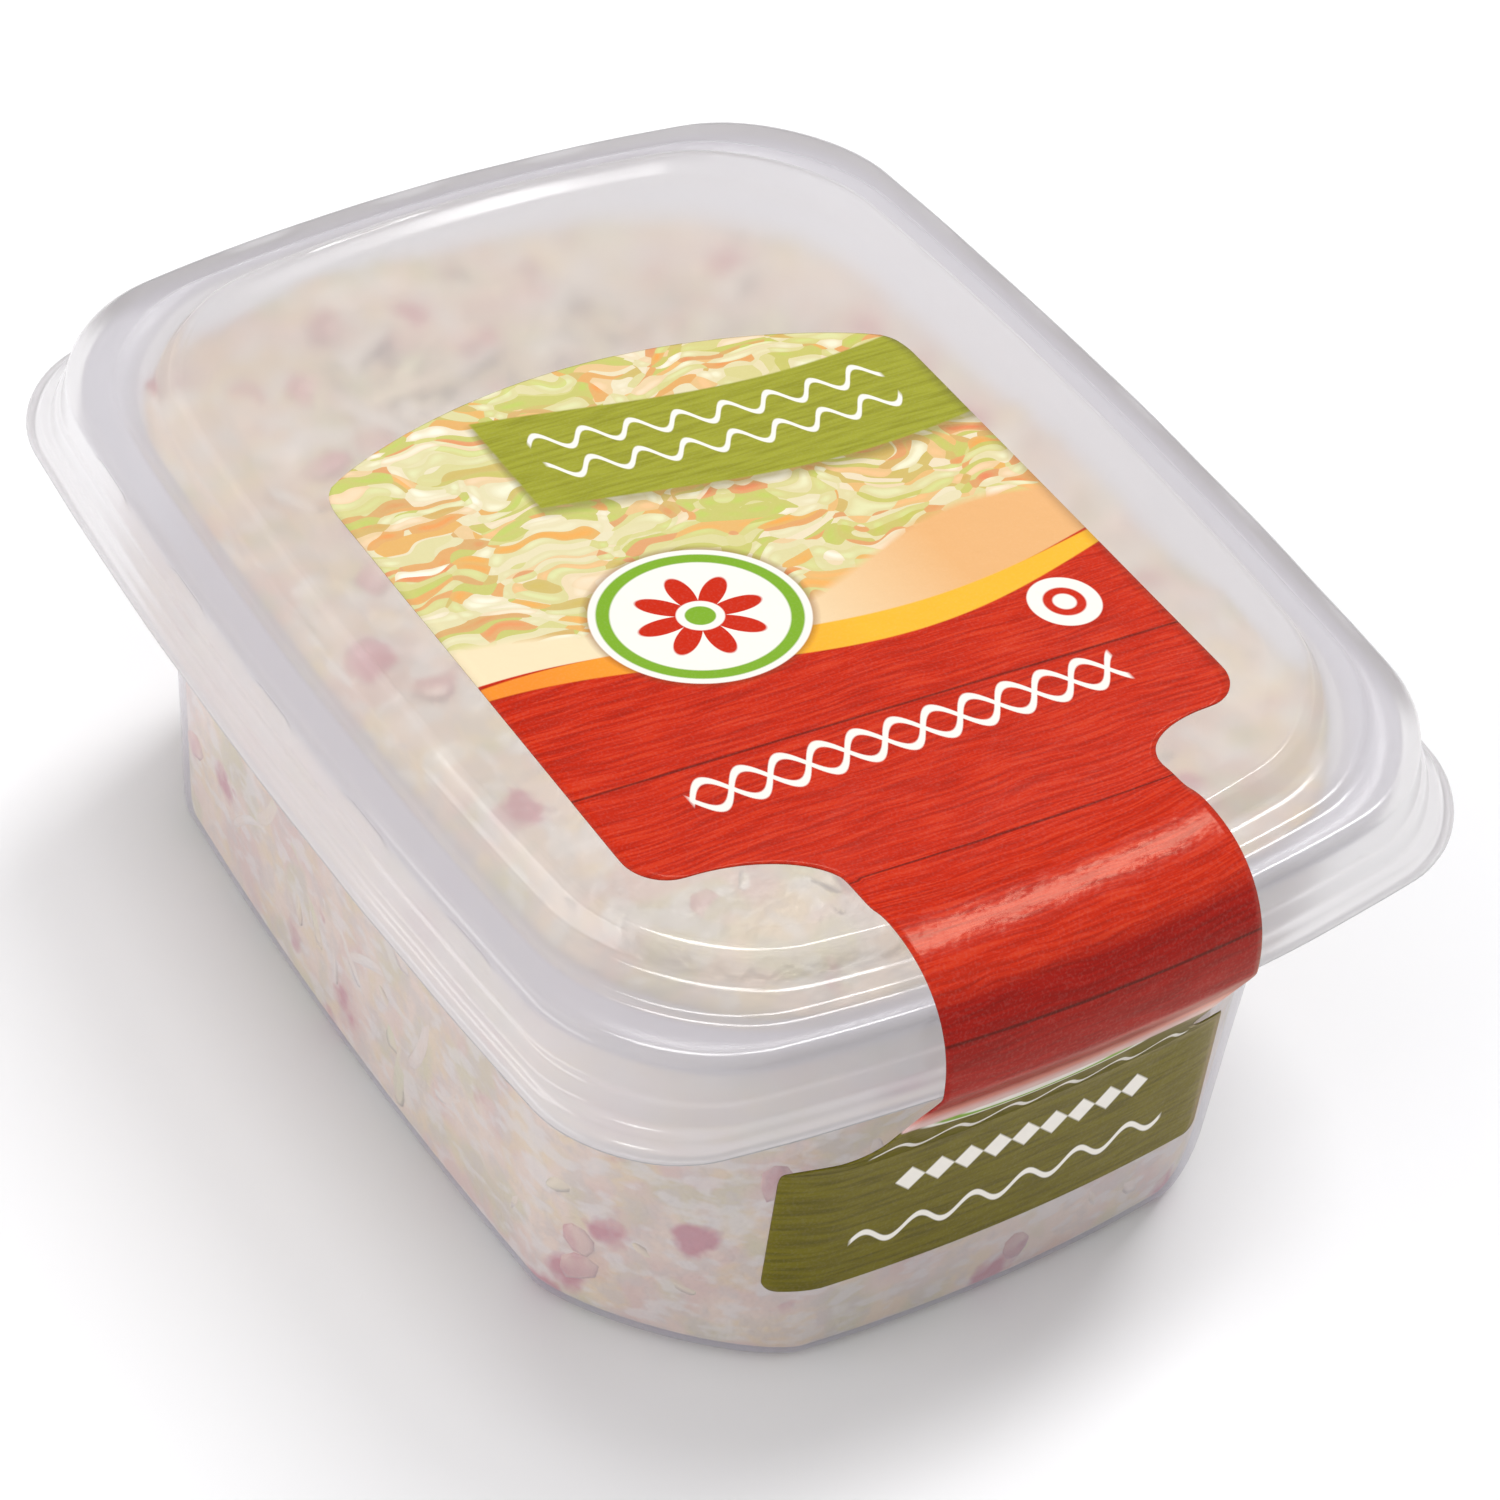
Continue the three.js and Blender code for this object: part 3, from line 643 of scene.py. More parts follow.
def label_material():
    """Satin printed film with slight waves in it."""
    s = Print("printed_film")
    pale = s.paint(rgb(224, 190, 186), rgb(206, 120, 108), s.below(RED_END_Z - 2.2, s.height, 2.4))
    colour = s.paint(low_print(s), pale, s.below(OLIVE_TOP_Z, s.height, 0.5))
    rim_is_top = s.below(RED_END_Z, s.height, 1.6)
    top = top_print(s)
    # Painted shade: below the lid's crest the print is darkened, as if the front of the film lay in shade
    inputs = {0: 1.0, 6: top, 7: FRONT_PAINTED_SHADE}
    shaded_top = s.node("Mix", inputs, data_type="RGBA", blend_type="MULTIPLY").outputs[2]
    top = s.paint(top, shaded_top, s.below(s.height, CREST_Z - 2.5, 1.5))
    colour = s.paint(colour, top, rim_is_top)
    print_dots = s.noise(s.place, 3.2, 2.0)
    colour = s.paint(colour, rgb(255, 250, 240), s.times(s.below(print_dots, 0.42, 0.2), 0.02))
    waves = s.scaled(s.noise(s.place, 0.6, 2.0), 0.25, s.noise(s.place, 0.09, 2.0))
    normal = s.bump(waves, 0.3, 1.2 * MM)
    body = s.node("BsdfPrincipled", {
        "Base Color": colour,
        "Roughness": 0.4,
        "Specular IOR Level": 0.08,
        "Normal": normal,
    })
    gloss = s.node("BsdfGlossy", {"Color": WARM_GLOSS, "Roughness": 0.19, "Normal": normal})
    shine = s.times(s.node("Fresnel", {"IOR": 1.5, "Normal": normal}).outputs[0], 0.42)
    return s.finish(s.node("MixShader", {0: shine, 1: body.outputs[0], 2: gloss.outputs[0]}).outputs[0])


def film_back():
    """The plain side of the film, seen only through the lid or from below."""
    s = Shader("film_back")
    shade = s.paint(rgb(240, 236, 230), rgb(232, 226, 220), s.noise(s.place_mm(), 0.15, 1.0))
    return s.finish(s.node("BsdfPrincipled", {"Base Color": shade, "Roughness": 0.5}).outputs[0])


def floor_material():
    s = Shader("pale_floor")
    place = s.node("TexCoord").outputs["Object"]
    colour = s.paint(rgb(250, 250, 251), rgb(247, 247, 249), s.noise(place, 6.0))
    return s.finish(s.node("BsdfPrincipled", {"Base Color": colour, "Roughness": 0.7}).outputs[0])


# The lid: how far out each outline lies from the lip's, its height and its corner radius
LIP_CORNER = 11.5
LID_PROFILE = [
    {"out": out, "z": z, "corner": corner}
    for out, z, corner in (
        (-15.6, PANEL_Z, 12.5),
        (-14.4, PANEL_Z + 0.1, 13.5),
        (-12.2, CREST_Z - 0.15, 14.5),
        (-11.5, CREST_Z, 15.0),
        (-10.9, CREST_Z - 0.3, 15.0),
        (-9.6, LEDGE_Z + 0.8, 16.0),
        (-8.9, LEDGE_Z + 0.5, 16.0),
        (-6.6, LEDGE_Z + 0.5, 16.0),
        (-6.1, LEDGE_Z, 16.0),
        (-3.3, LEDGE_Z, 15.5),
        (-2.6, LEDGE_Z - 0.7, 15.0),
        (-2.35, LIP_Z + 4.9, 14.0),
        (-1.95, LIP_Z + 4.55, 14.0),
        (-1.7, LIP_Z + 2.5, 13.0),
        (-1.1, LIP_Z + 2.2, 12.5),
        (-0.8, LIP_Z + 1.5, 12.0),
        (-0.2, LIP_Z + 1.2, LIP_CORNER),
        (0.0, LIP_Z + 0.6, LIP_CORNER),
        (-0.15, LIP_Z, LIP_CORNER),
    )
]
LUG = {"long": 7.0, "high": 1.2, "deep": 0.4, "pitch": 19.0, "z": LIP_Z + 7.2}
LUG_FLAT = 0.7  # the share of a grip pocket's half size over which it has its full depth
LUG_FADE = 0.6  # and the share over which that depth fades out
SKIRT_X = LID_X / 2 - 8  # the skirt lies further out than this
SKIRT_Y = LID_Y / 2 - 8
LID_EDGE = 0.4  # the rounding of its edges
PANEL_ROWS = 14


def lid_ring(out, z, corner):
    """The lid's outline at a height, moved out from the lip's by a distance."""
    return {"x": LID_X / 2 + out, "y": LID_Y / 2 + out, "z": z, "corner": corner, **LID_BOW}


def lug_weight(x, y, z):
    """How much of a grip pocket's depth a point of the skirt has."""
    def fade(value, half):
        return 1 - min(max((abs(value) - half * LUG_FLAT) / (half * LUG_FADE), 0), 1)
    up = fade(z - LUG["z"], LUG["high"] / 2)
    if up == 0:
        return 0.0
    if abs(x) > SKIRT_X:
        near = min((y - step * LUG["pitch"] for step in (-2, -1, 0, 1, 2)), key=abs)
        return up * fade(near, LUG["long"] / 2)
    if y > SKIRT_Y:
        near = min((x - step * LUG["pitch"] for step in (-1, 0, 1)), key=abs)
        return up * fade(near, LUG["long"] / 2)
    return 0.0


def make_lid(materials):
    under = list(reversed(moved(LID_PROFILE, -PLASTIC)))
    outer = rounded([lid_ring(**p) for p in LID_PROFILE], LID_EDGE, row=0.45)
    inner = rounded([lid_ring(**p) for p in under], LID_EDGE, row=1.2)
    rows = [outline(ring) for ring in reversed(outer + inner)]
    rows += toward_middle(rows[-1], [1 - k / PANEL_ROWS for k in range(1, PANEL_ROWS)])
    points, faces = loft(rows)
    pressed = []
    for x, y, z in points:
        deep = LUG["deep"] * lug_weight(x, y, z)
        if abs(x) > SKIRT_X:
            pressed.append((x - math.copysign(deep, x), y, z))
        else:
            pressed.append((x, y - deep, z))
    sides = inner_sides(rows, range(len(inner) - 1), 0)
    pressed = wavy(pressed, lid_ring(0.0, LIP_Z, LIP_CORNER))
    return make_piece("lid_shell", pressed, faces, materials, "lid", sides=sides)


# The tub
FOOT_IN = 7.0
FOOT_RECESS = 1.0
SHOULDER_Z = 48.6
SHOULDER_INNER_Z = SHOULDER_Z + 0.4
SHOULDER_TOP_Z = SHOULDER_Z + 2.5
RIM_DOWN = 2.0  # how far the rim turns down
RIM = lid_ring(-3.7, RIM_Z, 15.5)
TUB_EDGE = 0.6  # the rounding of its edges
# How much of the way from the wall to the rim each level of the shoulder has gone
SHOULDER_SHARE = 0.2
SHOULDER_TOP_SHARE = 0.28
NECK_SHARE = 0.45


def wall_ring(z, out=0.0):
    """The tub's outline at a height on its wall, moved out by a distance."""
    up = min(z / WALL_TOP_Z, 1.0)
    lean = WALL_DRAFT * z + out
    ring = {"x": BASE_X / 2 + lean, "y": BASE_Y / 2 + lean, "z": z}
    for key in FOOT_SHAPE:
        ring[key] = FOOT_SHAPE[key] + (SHOULDER_SHAPE[key] - FOOT_SHAPE[key]) * up
    return ring


def shoulder_ring(share, z):
    """The tub's outline between the wall's top and the rim."""
    return between(wall_ring(WALL_TOP_Z), RIM, share, z)


def inset(ring, distance, z):
    return {**ring, "x": ring["x"] - distance, "y": ring["y"] - distance, "z": z}


def make_tub(materials):
    outside = [
        wall_ring(FOOT_RECESS, -FOOT_IN - 1),
        wall_ring(0.0, -FOOT_IN),
        wall_ring(0.0, -2.4),
        wall_ring(0.5, -1.0),
        wall_ring(1.5, -0.25),
        wall_ring(3.0),
        wall_ring(WALL_TOP_Z),
        shoulder_ring(SHOULDER_SHARE, SHOULDER_Z),
        shoulder_ring(SHOULDER_TOP_SHARE, SHOULDER_TOP_Z),
        shoulder_ring(NECK_SHARE, RIM_Z - PLASTIC),
        inset(RIM, PLASTIC, RIM_Z - PLASTIC),
        inset(RIM, PLASTIC, RIM_Z - RIM_DOWN),
        inset(RIM, 0, RIM_Z - RIM_DOWN),
        inset(RIM, 0, RIM_Z - 0.4),
        inset(RIM, 0.4, RIM_Z),
    ]
    floor_z = FOOT_RECESS + PLASTIC
    inside = [
        inset(shoulder_ring(NECK_SHARE, RIM_Z), PLASTIC, RIM_Z),
        inset(shoulder_ring(SHOULDER_TOP_SHARE, SHOULDER_TOP_Z), PLASTIC, SHOULDER_TOP_Z),
        inset(shoulder_ring(SHOULDER_SHARE, SHOULDER_INNER_Z), PLASTIC, SHOULDER_INNER_Z),
        wall_ring(WALL_TOP_Z, -PLASTIC),
        wall_ring(4.0, -PLASTIC),
        wall_ring(floor_z + 0.6, -1.4),
        wall_ring(floor_z, -3.0),
        wall_ring(floor_z, -FOOT_IN - 0.4),
    ]
    outer = rounded(outside, TUB_EDGE, row=2.0)
    inner = rounded(inside, TUB_EDGE, row=3.0)
    rows = [outline(ring, long_steps=40, short_steps=30) for ring in outer + inner]
    points, faces = loft(rows)
    points = wavy(points, RIM)
    sides = inner_sides(rows, range(len(outer), len(rows) - 1), 1)
    return make_piece("tub_shell", points, faces, materials, "tub", sides=sides)


# The label: a wide panel on the lid, a neck over the lid's edge and a second panel on the wall
LABEL = {
    "wide": 34.2, "neck": 18.4, "low": 26.0,
    "wide_mid": -2.0, "neck_mid": 0.0, "low_mid": -2.0,
    "back": 18.0, "arch": 9.7, "front": -45.4, "neck_y": -51.8,
    "corner": 4.5, "turn": -0.05, "arc_out": 11.5, "arc_soft": 2.3, "arc_steps": 22,
    "low_top": 31.5, "low_flare": 36.5, "low_end": 12.7, "low_corner": 1.5,
}
LABEL_COLUMNS = 48
LABEL_BACK_ROWS = ((1.5, 0.4), (0.5, 0.0), (0.0, -1.4))  # how much narrower and further back each row is


def lid_width(y):
    """Half width of the label by y, on the lid."""
    front, corner = LABEL["front"], LABEL["corner"]
    if y > front + corner:
        return LABEL["wide"]
    if y > front:
        t = (front + corner - y) / corner
        return LABEL["wide"] - corner * (1 - math.sqrt(1 - t * t))
    t = min((y - LABEL["neck_y"]) / (front - LABEL["neck_y"]), 1)
    if t <= 0:
        return LABEL["neck"]
    wide = LABEL["wide"] - corner
    return wide - (wide - LABEL["neck"]) * math.sqrt(1 - t * t)


def wall_width(z):
    """Half width of the label by height, on the front wall."""
    if z > LABEL["low_flare"]:
        return LABEL["neck"]
    if z > LABEL["low_top"]:
        t = (LABEL["low_flare"] - z) / (LABEL["low_flare"] - LABEL["low_top"])
        return LABEL["low"] - (LABEL["low"] - LABEL["neck"]) * math.sqrt(1 - t * t)
    t = max(LABEL["low_end"] + LABEL["low_corner"] - z, 0) / LABEL["low_corner"]
    return LABEL["low"] - LABEL["low_corner"] * (1 - math.sqrt(1 - t * t))


def label_rows():
    """Each row: its half width, the x of its middle and a function from x to a point under the film."""
    top = PANEL_Z + LABEL_GAP + 0.1
    rows = []

    def flat(half, mid, y):
        rows.append((half, mid, lambda x: (x, y(x) + LABEL["turn"] * (x - LABEL["wide_mid"]), top)))

    def back_y(x):
        across = min(abs(x - LABEL["wide_mid"]) / LABEL["wide"], 1)
        return LABEL["back"] + LABEL["arch"] * max(math.cos(across * math.pi / 2), 0) ** 0.7

    for narrower, further in LABEL_BACK_ROWS:
        flat(LABEL["wide"] - narrower, LABEL["wide_mid"], lambda x, further=further: back_y(x) + further)
    front, corner, neck_y = LABEL["front"], LABEL["corner"], LABEL["neck_y"]
    levels = [14 - 7 * k for k in range(8)]
    levels += [front + corner * (1 - math.sin(k / 8 * math.pi / 2)) for k in range(9)]
    levels += [neck_y + (front - neck_y) * math.cos(k / 10 * math.pi / 2) for k in range(1, 11)]
    for y in levels:
        to_neck = min(max((front - y) / (front - neck_y), 0), 1)
        mid = LABEL["wide_mid"] + (LABEL["neck_mid"] - LABEL["wide_mid"]) * to_neck
        flat(lid_width(y), mid, lambda x, y=y: y)
    over_lid = [(-14.2, PANEL_Z + 0.3), (-12.7, CREST_Z - 0.05)]
    arc_low = LIP_Z + 0.6
    arc_high = CREST_Z + 0.15
    for k in range(LABEL["arc_steps"] + 1):
        t = k / LABEL["arc_steps"] * math.pi / 2
        along = math.sin(t) ** (2 / LABEL["arc_soft"])
        up = max(math.cos(t), 0.0) ** (2 / LABEL["arc_soft"])
        over_lid.append((LABEL["arc_out"] * (along - 1), arc_low + (arc_high - arc_low) * up))
    over_lid.append((-0.1, LIP_Z - 0.2))
    for out, z in over_lid:
        ring = lid_ring(out + LABEL_GAP, z, 15.0)
        rows.append((LABEL["neck"], LABEL["neck_mid"],
                     lambda x, ring=ring, z=z: (x, front_y(ring, x), z + LABEL_GAP * 0.5)))
    stuck = LABEL["low_top"] - 1
    lip = lid_ring(0.0, LIP_Z, LIP_CORNER)
    wall = wall_ring(stuck, LABEL_WALL_GAP)
    drops = [0.3, 0.55] + [1 - 0.4 * math.cos(k / 10 * math.pi / 2) for k in range(1, 11)]
    for t in drops[:-1]:
        z = LIP_Z - (LIP_Z - stuck) * t
        mid = LABEL["neck_mid"] + (LABEL["low_mid"] - LABEL["neck_mid"]) * t
        rows.append((wall_width(z), mid, lambda x, t=t, z=z: (
            x, front_y(lip, x) + (front_y(wall, x) - front_y(lip, x)) * t, z)))
    low_end, low_corner = LABEL["low_end"], LABEL["low_corner"]
    levels = [stuck, 27, 23, 19]
    levels += [low_end + low_corner * (1 - math.sin(k / 5 * math.pi / 2)) for k in range(6)]
    for z in levels:
        ring = wall_ring(z, LABEL_WALL_GAP)
        rows.append((wall_width(z), LABEL["low_mid"], lambda x, ring=ring, z=z: (x, front_y(ring, x), z)))
    return rows


def eased(line, share=0.4, steps=3):
    """A line of points with a small curve in place of each turn."""
    made = [line[0]]
    for before, here, after in zip(line, line[1:], line[2:]):
        start = here.lerp(before, share)
        end = here.lerp(after, share)
        for k in range(steps + 1):
            t = k / steps
            made.append(start.lerp(here, t).lerp(here.lerp(end, t), t))
    made.append(line[-1])
    return made


def make_label(materials):
    rows = label_rows()
    shares = [2 * k / LABEL_COLUMNS - 1 for k in range(LABEL_COLUMNS + 1)]
    lines = [eased([Vector(at(mid + share * half)) for half, mid, at in rows]) for share in shares]
    count = len(lines[0])
    wide = len(shares)
    middle = lines[wide // 2]
    over, under, sheet = [], [], []
    run = 0.0
    for i in range(count):
        before, after = middle[max(i - 1, 0)], middle[min(i + 1, count - 1)]
        run = run + (middle[i] - middle[i - 1]).length if i else -middle[0].y
        way = after - before
        out = Vector((0, way.z, -way.y)).normalized()
        for line in lines:
            here = line[i]
            under.append(here + out * LABEL_LIFT)
            over.append(here + out * (LABEL_LIFT + LABEL_THICK))
            flat = here.z > PANEL_Z and here.y > LABEL["neck_y"]
            along = LABEL["turn"] * (here.x - LABEL["wide_mid"]) - here.y if flat else run
            sheet.append((here.x, along))
    below = len(over)
    faces, sides = [], []
    for i in range(count - 1):
        for k in range(wide - 1):
            a = i * wide + k
            quad = (a, a + wide, a + wide + 1, a + 1)
            faces.append(quad)
            faces.append(tuple(v + below for v in reversed(quad)))
            sides += [0, 1]
    rim = list(range(wide)) + [i * wide + wide - 1 for i in range(1, count)]
    rim += [(count - 1) * wide + k for k in range(wide - 2, -1, -1)]
    rim += [i * wide for i in range(count - 2, 0, -1)]
    for a, b in zip(rim, rim[1:] + rim[:1]):
        faces.append((a, b, b + below, a + below))
        sides.append(0)
    piece = make_piece("label_sheet", over + under, faces, materials, "label", sides=sides)
    layer = piece.data.uv_layers.new(name="sheet")
    for loop in piece.data.loops:
        layer.data[loop.index].uv = sheet[loop.vertex_index % below]
    return piece


# The salad
WALL_BITE = 0.25  # how far the dressing reaches into the wall
PIECE_BITE = 0.5  # and the pieces pressed against it
CORE_TOP_SHARES = 44
SALAD_ROOF = PANEL_Z - PLASTIC - 0.5  # the salad stays under the lid's panel
LUMP_SIZE = 4.2
LUMP_HIGH = 0.8
GRAIN_SIZE = 1.7
GRAIN_HIGH = 0.3
GRAIN_SHIFT = Vector((9.0, 4.0, 2.0))


def salad_z(x, y):
    """The level of the salad: slumped towards the front left corner, with soft lumps."""
    lumps = 0.9 * math.sin(x / 8.5 + 1.3) * math.cos(y / 10.5) + 0.6 * math.sin((x + y) / 6.2)
    return min(FILL_Z + FILL_SLOPE_X * x + FILL_SLOPE_Y * y + lumps, FILL_TOP_Z)


def relief(x, y, z):
    """Small lumps of the dressed salad."""
    coarse = noise.noise(Vector((x, y, z)) / LUMP_SIZE)
    fine = noise.noise(Vector((x, y, z)) / GRAIN_SIZE + GRAIN_SHIFT)
    return LUMP_HIGH * coarse + GRAIN_HIGH * fine


def inner_ring(z, bite):
    """The inside of the tub's wall at a height, with the dressing reaching into it."""
    if z <= WALL_TOP_Z:
        return wall_ring(z, bite - PLASTIC)
    steps = (
        (WALL_TOP_Z, 0.0),
        (SHOULDER_INNER_Z, SHOULDER_SHARE),
        (SHOULDER_TOP_Z, SHOULDER_TOP_SHARE),
        (RIM_Z, NECK_SHARE),
    )
    for (low_z, low_t), (high_z, high_t) in zip(steps, steps[1:]):
        if z <= high_z:
            t = low_t + (high_t - low_t) * (z - low_z) / (high_z - low_z)
            break
    return inset(shoulder_ring(t, z), PLASTIC - bite, z)


FOOT_SKIN = 0.35  # the plastic left under the dressing, so that the foot shows no empty gap
EDGE_TOP_Z = RIM_Z - 0.9  # the dressing stays under the tub's rim
WALL_START_Z = 4.2
LEVEL_STEP = 1.4
WALL_ROWS = 26
CORE_LIFT = 0.9  # the core's top above the salad's level, which the loose pieces stand out of
CLING_HIGH = 1.6  # how far dressing clings to the wall above the level
CLING_RELIEF = 1.5
CLING_SHARE = 0.09  # the share of the way to the middle over which it comes down


def make_dressing(material):
    """The body of the salad, out to the wall: what lies deeper than the loose pieces on top."""
    foot = rounded([
        wall_ring(FOOT_RECESS + FOOT_SKIN, -FOOT_IN - 0.8),
        wall_ring(FOOT_SKIN, -FOOT_IN + 0.8),
        wall_ring(FOOT_SKIN, -2.6),
        wall_ring(0.5 + FOOT_SKIN, -1.3),
        wall_ring(1.5 + FOOT_SKIN, -0.6),
        wall_ring(WALL_START_Z, WALL_BITE - PLASTIC),
    ], TUB_EDGE, row=2.0)
    fine = {"long_steps": 64, "short_steps": 46}
    rows = [outline(ring, **fine) for ring in foot]
    count = len(rows[0])
    last = int((EDGE_TOP_Z - WALL_START_Z) / LEVEL_STEP) + 1
    levels = [min(WALL_START_Z + LEVEL_STEP * i, EDGE_TOP_Z) for i in range(last + 1)]
    walls = [outline(inner_ring(z, WALL_BITE), **fine) for z in levels]

    def wall_point(k, z):
        place = (z - WALL_START_Z) / LEVEL_STEP
        i = min(int(place), last - 1)
        share = (z - levels[i]) / (levels[i + 1] - levels[i])
        a, b = walls[i][k], walls[i + 1][k]
        return (a[0] + (b[0] - a[0]) * share, a[1] + (b[1] - a[1]) * share, z)

    tops = []
    for x, y, _ in outline(wall_ring(WALL_TOP_Z, -PLASTIC), **fine):
        tops.append(min(salad_z(x, y) + CLING_HIGH + CLING_RELIEF * relief(x, y, 0), EDGE_TOP_Z))
    for row in range(1, WALL_ROWS + 1):
        share = row / WALL_ROWS
        rows.append([wall_point(k, WALL_START_Z + (tops[k] - WALL_START_Z) * share) for k in range(count)])
    edge = rows[-1]
    for k in range(1, CORE_TOP_SHARES):
        share = 1 - k / CORE_TOP_SHARES
        row = []
        for x, y, top in edge:
            level = salad_z(x * share, y * share) + CORE_LIFT + relief(x * share, y * share, 0)
            cling = max(0.0, 1 - (1 - share) / CLING_SHARE)
            z = level + (top - level) * cling
            row.append((x * share, y * share, min(z, SALAD_ROOF - 0.2)))
        rows.append(row)
    points, faces = loft(rows)
    return make_piece("coleslaw_dressing", points, faces, [material], "coleslaw")


class Bits:
    """One kind of salad piece: its points, faces and tones, gathered for one mesh."""

    def __init__(self):
        self.points = []
        self.faces = []
        self.tones = []

    def add(self, rows, tone):
        """A closed body from rows of points around it."""
        start = len(self.points)
        count = len(rows[0])
        for row in rows:
            self.points.extend(row)
        for i in range(len(rows) - 1):
            for k in range(count):
                a = start + i * count + k
                b = start + i * count + (k + 1) % count
                self.faces.append((a, b, b + count, a + count))
        self.faces.append(tuple(start + k for k in reversed(range(count))))
        last = start + (len(rows) - 1) * count
        self.faces.append(tuple(last + k for k in range(count)))
        self.tones.extend([tone] * (len(rows) * count))

    def piece(self, name, material):
        return make_piece(name, self.points, self.faces, [material], "coleslaw", self.tones)


ROOF_PRESS = 1.3  # depth over which pieces are pressed flat under the lid
FLOOR_CLEAR = 1.4  # the least height of a piece above the tub's floor
RIM_CLEAR = 0.6  # and its least distance from the plastic above the wall
SHRED_STEPS = 9
# The corners of a shred's section, to the side and up, and the layers of a dice, up and how wide
SHRED_SECTION = ((1, 0.2), (0.5, 1), (-0.5, 1), (-1, 0.2), (-0.5, -1), (0.5, -1))
DICE_LAYERS = ((-1, 0.72), (-0.8, 0.97), (0, 1.0), (0.8, 0.97), (1, 0.72))
DICE_CORNERS = 8


def held_in(point):
    """A point kept inside the tub: pressed flat against the wall where it would cross it."""
    z = max(point.z, FOOT_RECESS + PLASTIC + FLOOR_CLEAR)
    if z > SALAD_ROOF - ROOF_PRESS:
        z = SALAD_ROOF - ROOF_PRESS * math.exp((SALAD_ROOF - ROOF_PRESS - z) / ROOF_PRESS)
    bite = PIECE_BITE if z < WALL_TOP_Z else -RIM_CLEAR
    ring = wall_ring(min(z, WALL_TOP_Z), bite - PLASTIC)
    x, y = kept_inside(point.x, point.y, ring)
    return (x, y, z)


def shred_rows(draw, length, wide, thick, place):
    """A shred of cabbage or carrot: a long thin strip, bent, twisted and tapered."""
    bend = draw.uniform(-0.32, 0.32)
    curl = draw.uniform(-0.12, 0.16)
    twist = draw.uniform(-0.8, 0.8)
    rows = []
    for k in range(SHRED_STEPS + 1):
        t = 2 * k / SHRED_STEPS - 1
        taper = math.sqrt(max(1 - t ** 6, 0.0)) * 0.75 + 0.25
        aside = bend * length * (1 - t * t) * 0.5
        above = curl * length * (t * t - 0.4) * 0.35
        centre = Vector((t * length / 2, aside, above))
        turn = Matrix.Rotation(twist * t, 3, "X")
        row = []
        for side, lift in SHRED_SECTION:
            offset = turn @ Vector((0, side * wide / 2 * taper, lift * thick / 2 * taper))
            row.append(held_in(place @ (centre + offset)))
        rows.append(row)
    return rows


def dice_rows(draw, long, wide, high, place):
    """A piece of ham: a small block with soft, uneven edges."""
    rows = []
    wobble = [draw.uniform(0.82, 1.12) for _ in range(DICE_CORNERS)]
    for up, size in DICE_LAYERS:
        row = []
        for k in range(DICE_CORNERS):
            angle = (k + 0.5) / DICE_CORNERS * 2 * math.pi
            c, s = math.cos(angle), math.sin(angle)
            reach = wobble[k] * size / max(abs(c), abs(s)) ** 0.75
            corner = Vector((c * long / 2 * reach, s * wide / 2 * reach, up * high / 2))
            row.append(held_in(place @ corner))
        rows.append(row)
    return rows


SPREAD_X = 44
SPREAD_Y = 62
MARGIN_SPREAD = 9.0
TILT = 0.13  # how far the pieces tilt, in radians


def on_top(draw, lift, margin):
    """A random place on the salad, lying roughly along its surface."""
    x = draw.uniform(-SPREAD_X, SPREAD_X)
    y = draw.uniform(-SPREAD_Y, SPREAD_Y)
    x, y = kept_inside(x, y, wall_ring(WALL_TOP_Z, -draw.uniform(margin, margin + MARGIN_SPREAD)))
    lay = Matrix.Rotation(draw.uniform(0, 2 * math.pi), 4, "Z")
    tilt = Matrix.Rotation(draw.gauss(0, TILT), 4, "X") @ Matrix.Rotation(draw.gauss(0, TILT), 4, "Y")
    return Matrix.Translation((x, y, salad_z(x, y) + lift)) @ tilt @ lay


def at_wall(draw):
    """A random place against the wall, lying along it."""
    steps = (8, 24, 18)
    around = outline(wall_ring(WALL_TOP_Z / 2), *steps)
    k = draw.randrange(len(around))
    level = draw.uniform(5.0, salad_z(*around[k][:2]) - 1.5)
    around = outline(wall_ring(level, PIECE_BITE - PLASTIC - 0.7), *steps)
    x, y, z = around[k]
    nx, ny, _ = around[(k + 1) % len(around)]
    along = Matrix.Rotation(math.atan2(ny - y, nx - x), 4, "Z")
    upright = Matrix.Rotation(math.pi / 2, 4, "X")
    turn = Matrix.Rotation(draw.uniform(0, 2 * math.pi), 4, "Z")
    return Matrix.Translation((x, y, z)) @ along @ upright @ turn


# The loose pieces in the order in which they are laid: kind, count, ranges of length, width and thickness,
# and for those on top of the salad the range of heights over its level and the distance from the wall
LAID = [
    ("cabbage", 560, ((9, 24), (1.6, 3.6), (0.6, 1.1)), (-0.6, 0.5), 12.0),
    ("cabbage", 150, ((7, 16), (1.6, 3.4), (0.6, 1.0)), None, None),
    ("carrot", 110, ((8, 18), (1.3, 1.9), (1.0, 1.4)), (-0.9, 0.5), 12.0),
    ("ham", 85, ((4, 7.5), (3, 5), (2.4, 3.4)), (-0.7, 0.5), 5.0),
    ("ham", 42, ((3.5, 6.5), (2.5, 4), (1.2, 2.0)), None, None),
]
# Each kind's tones, from 0 to 1, and its roughness
KINDS = {
    "cabbage": (
        [(0.0, CABBAGE_GREEN), (0.35, CABBAGE_YELLOW), (0.6, CABBAGE_WHITE), (1.0, CABBAGE_WHITE)],
        0.32,
    ),
    "carrot": ([(0.0, CARROT), (1.0, CARROT_PALE)], 0.34),
    "ham": ([(0.0, HAM_DARK), (0.5, HAM), (1.0, HAM_PALE)], 0.3),
}


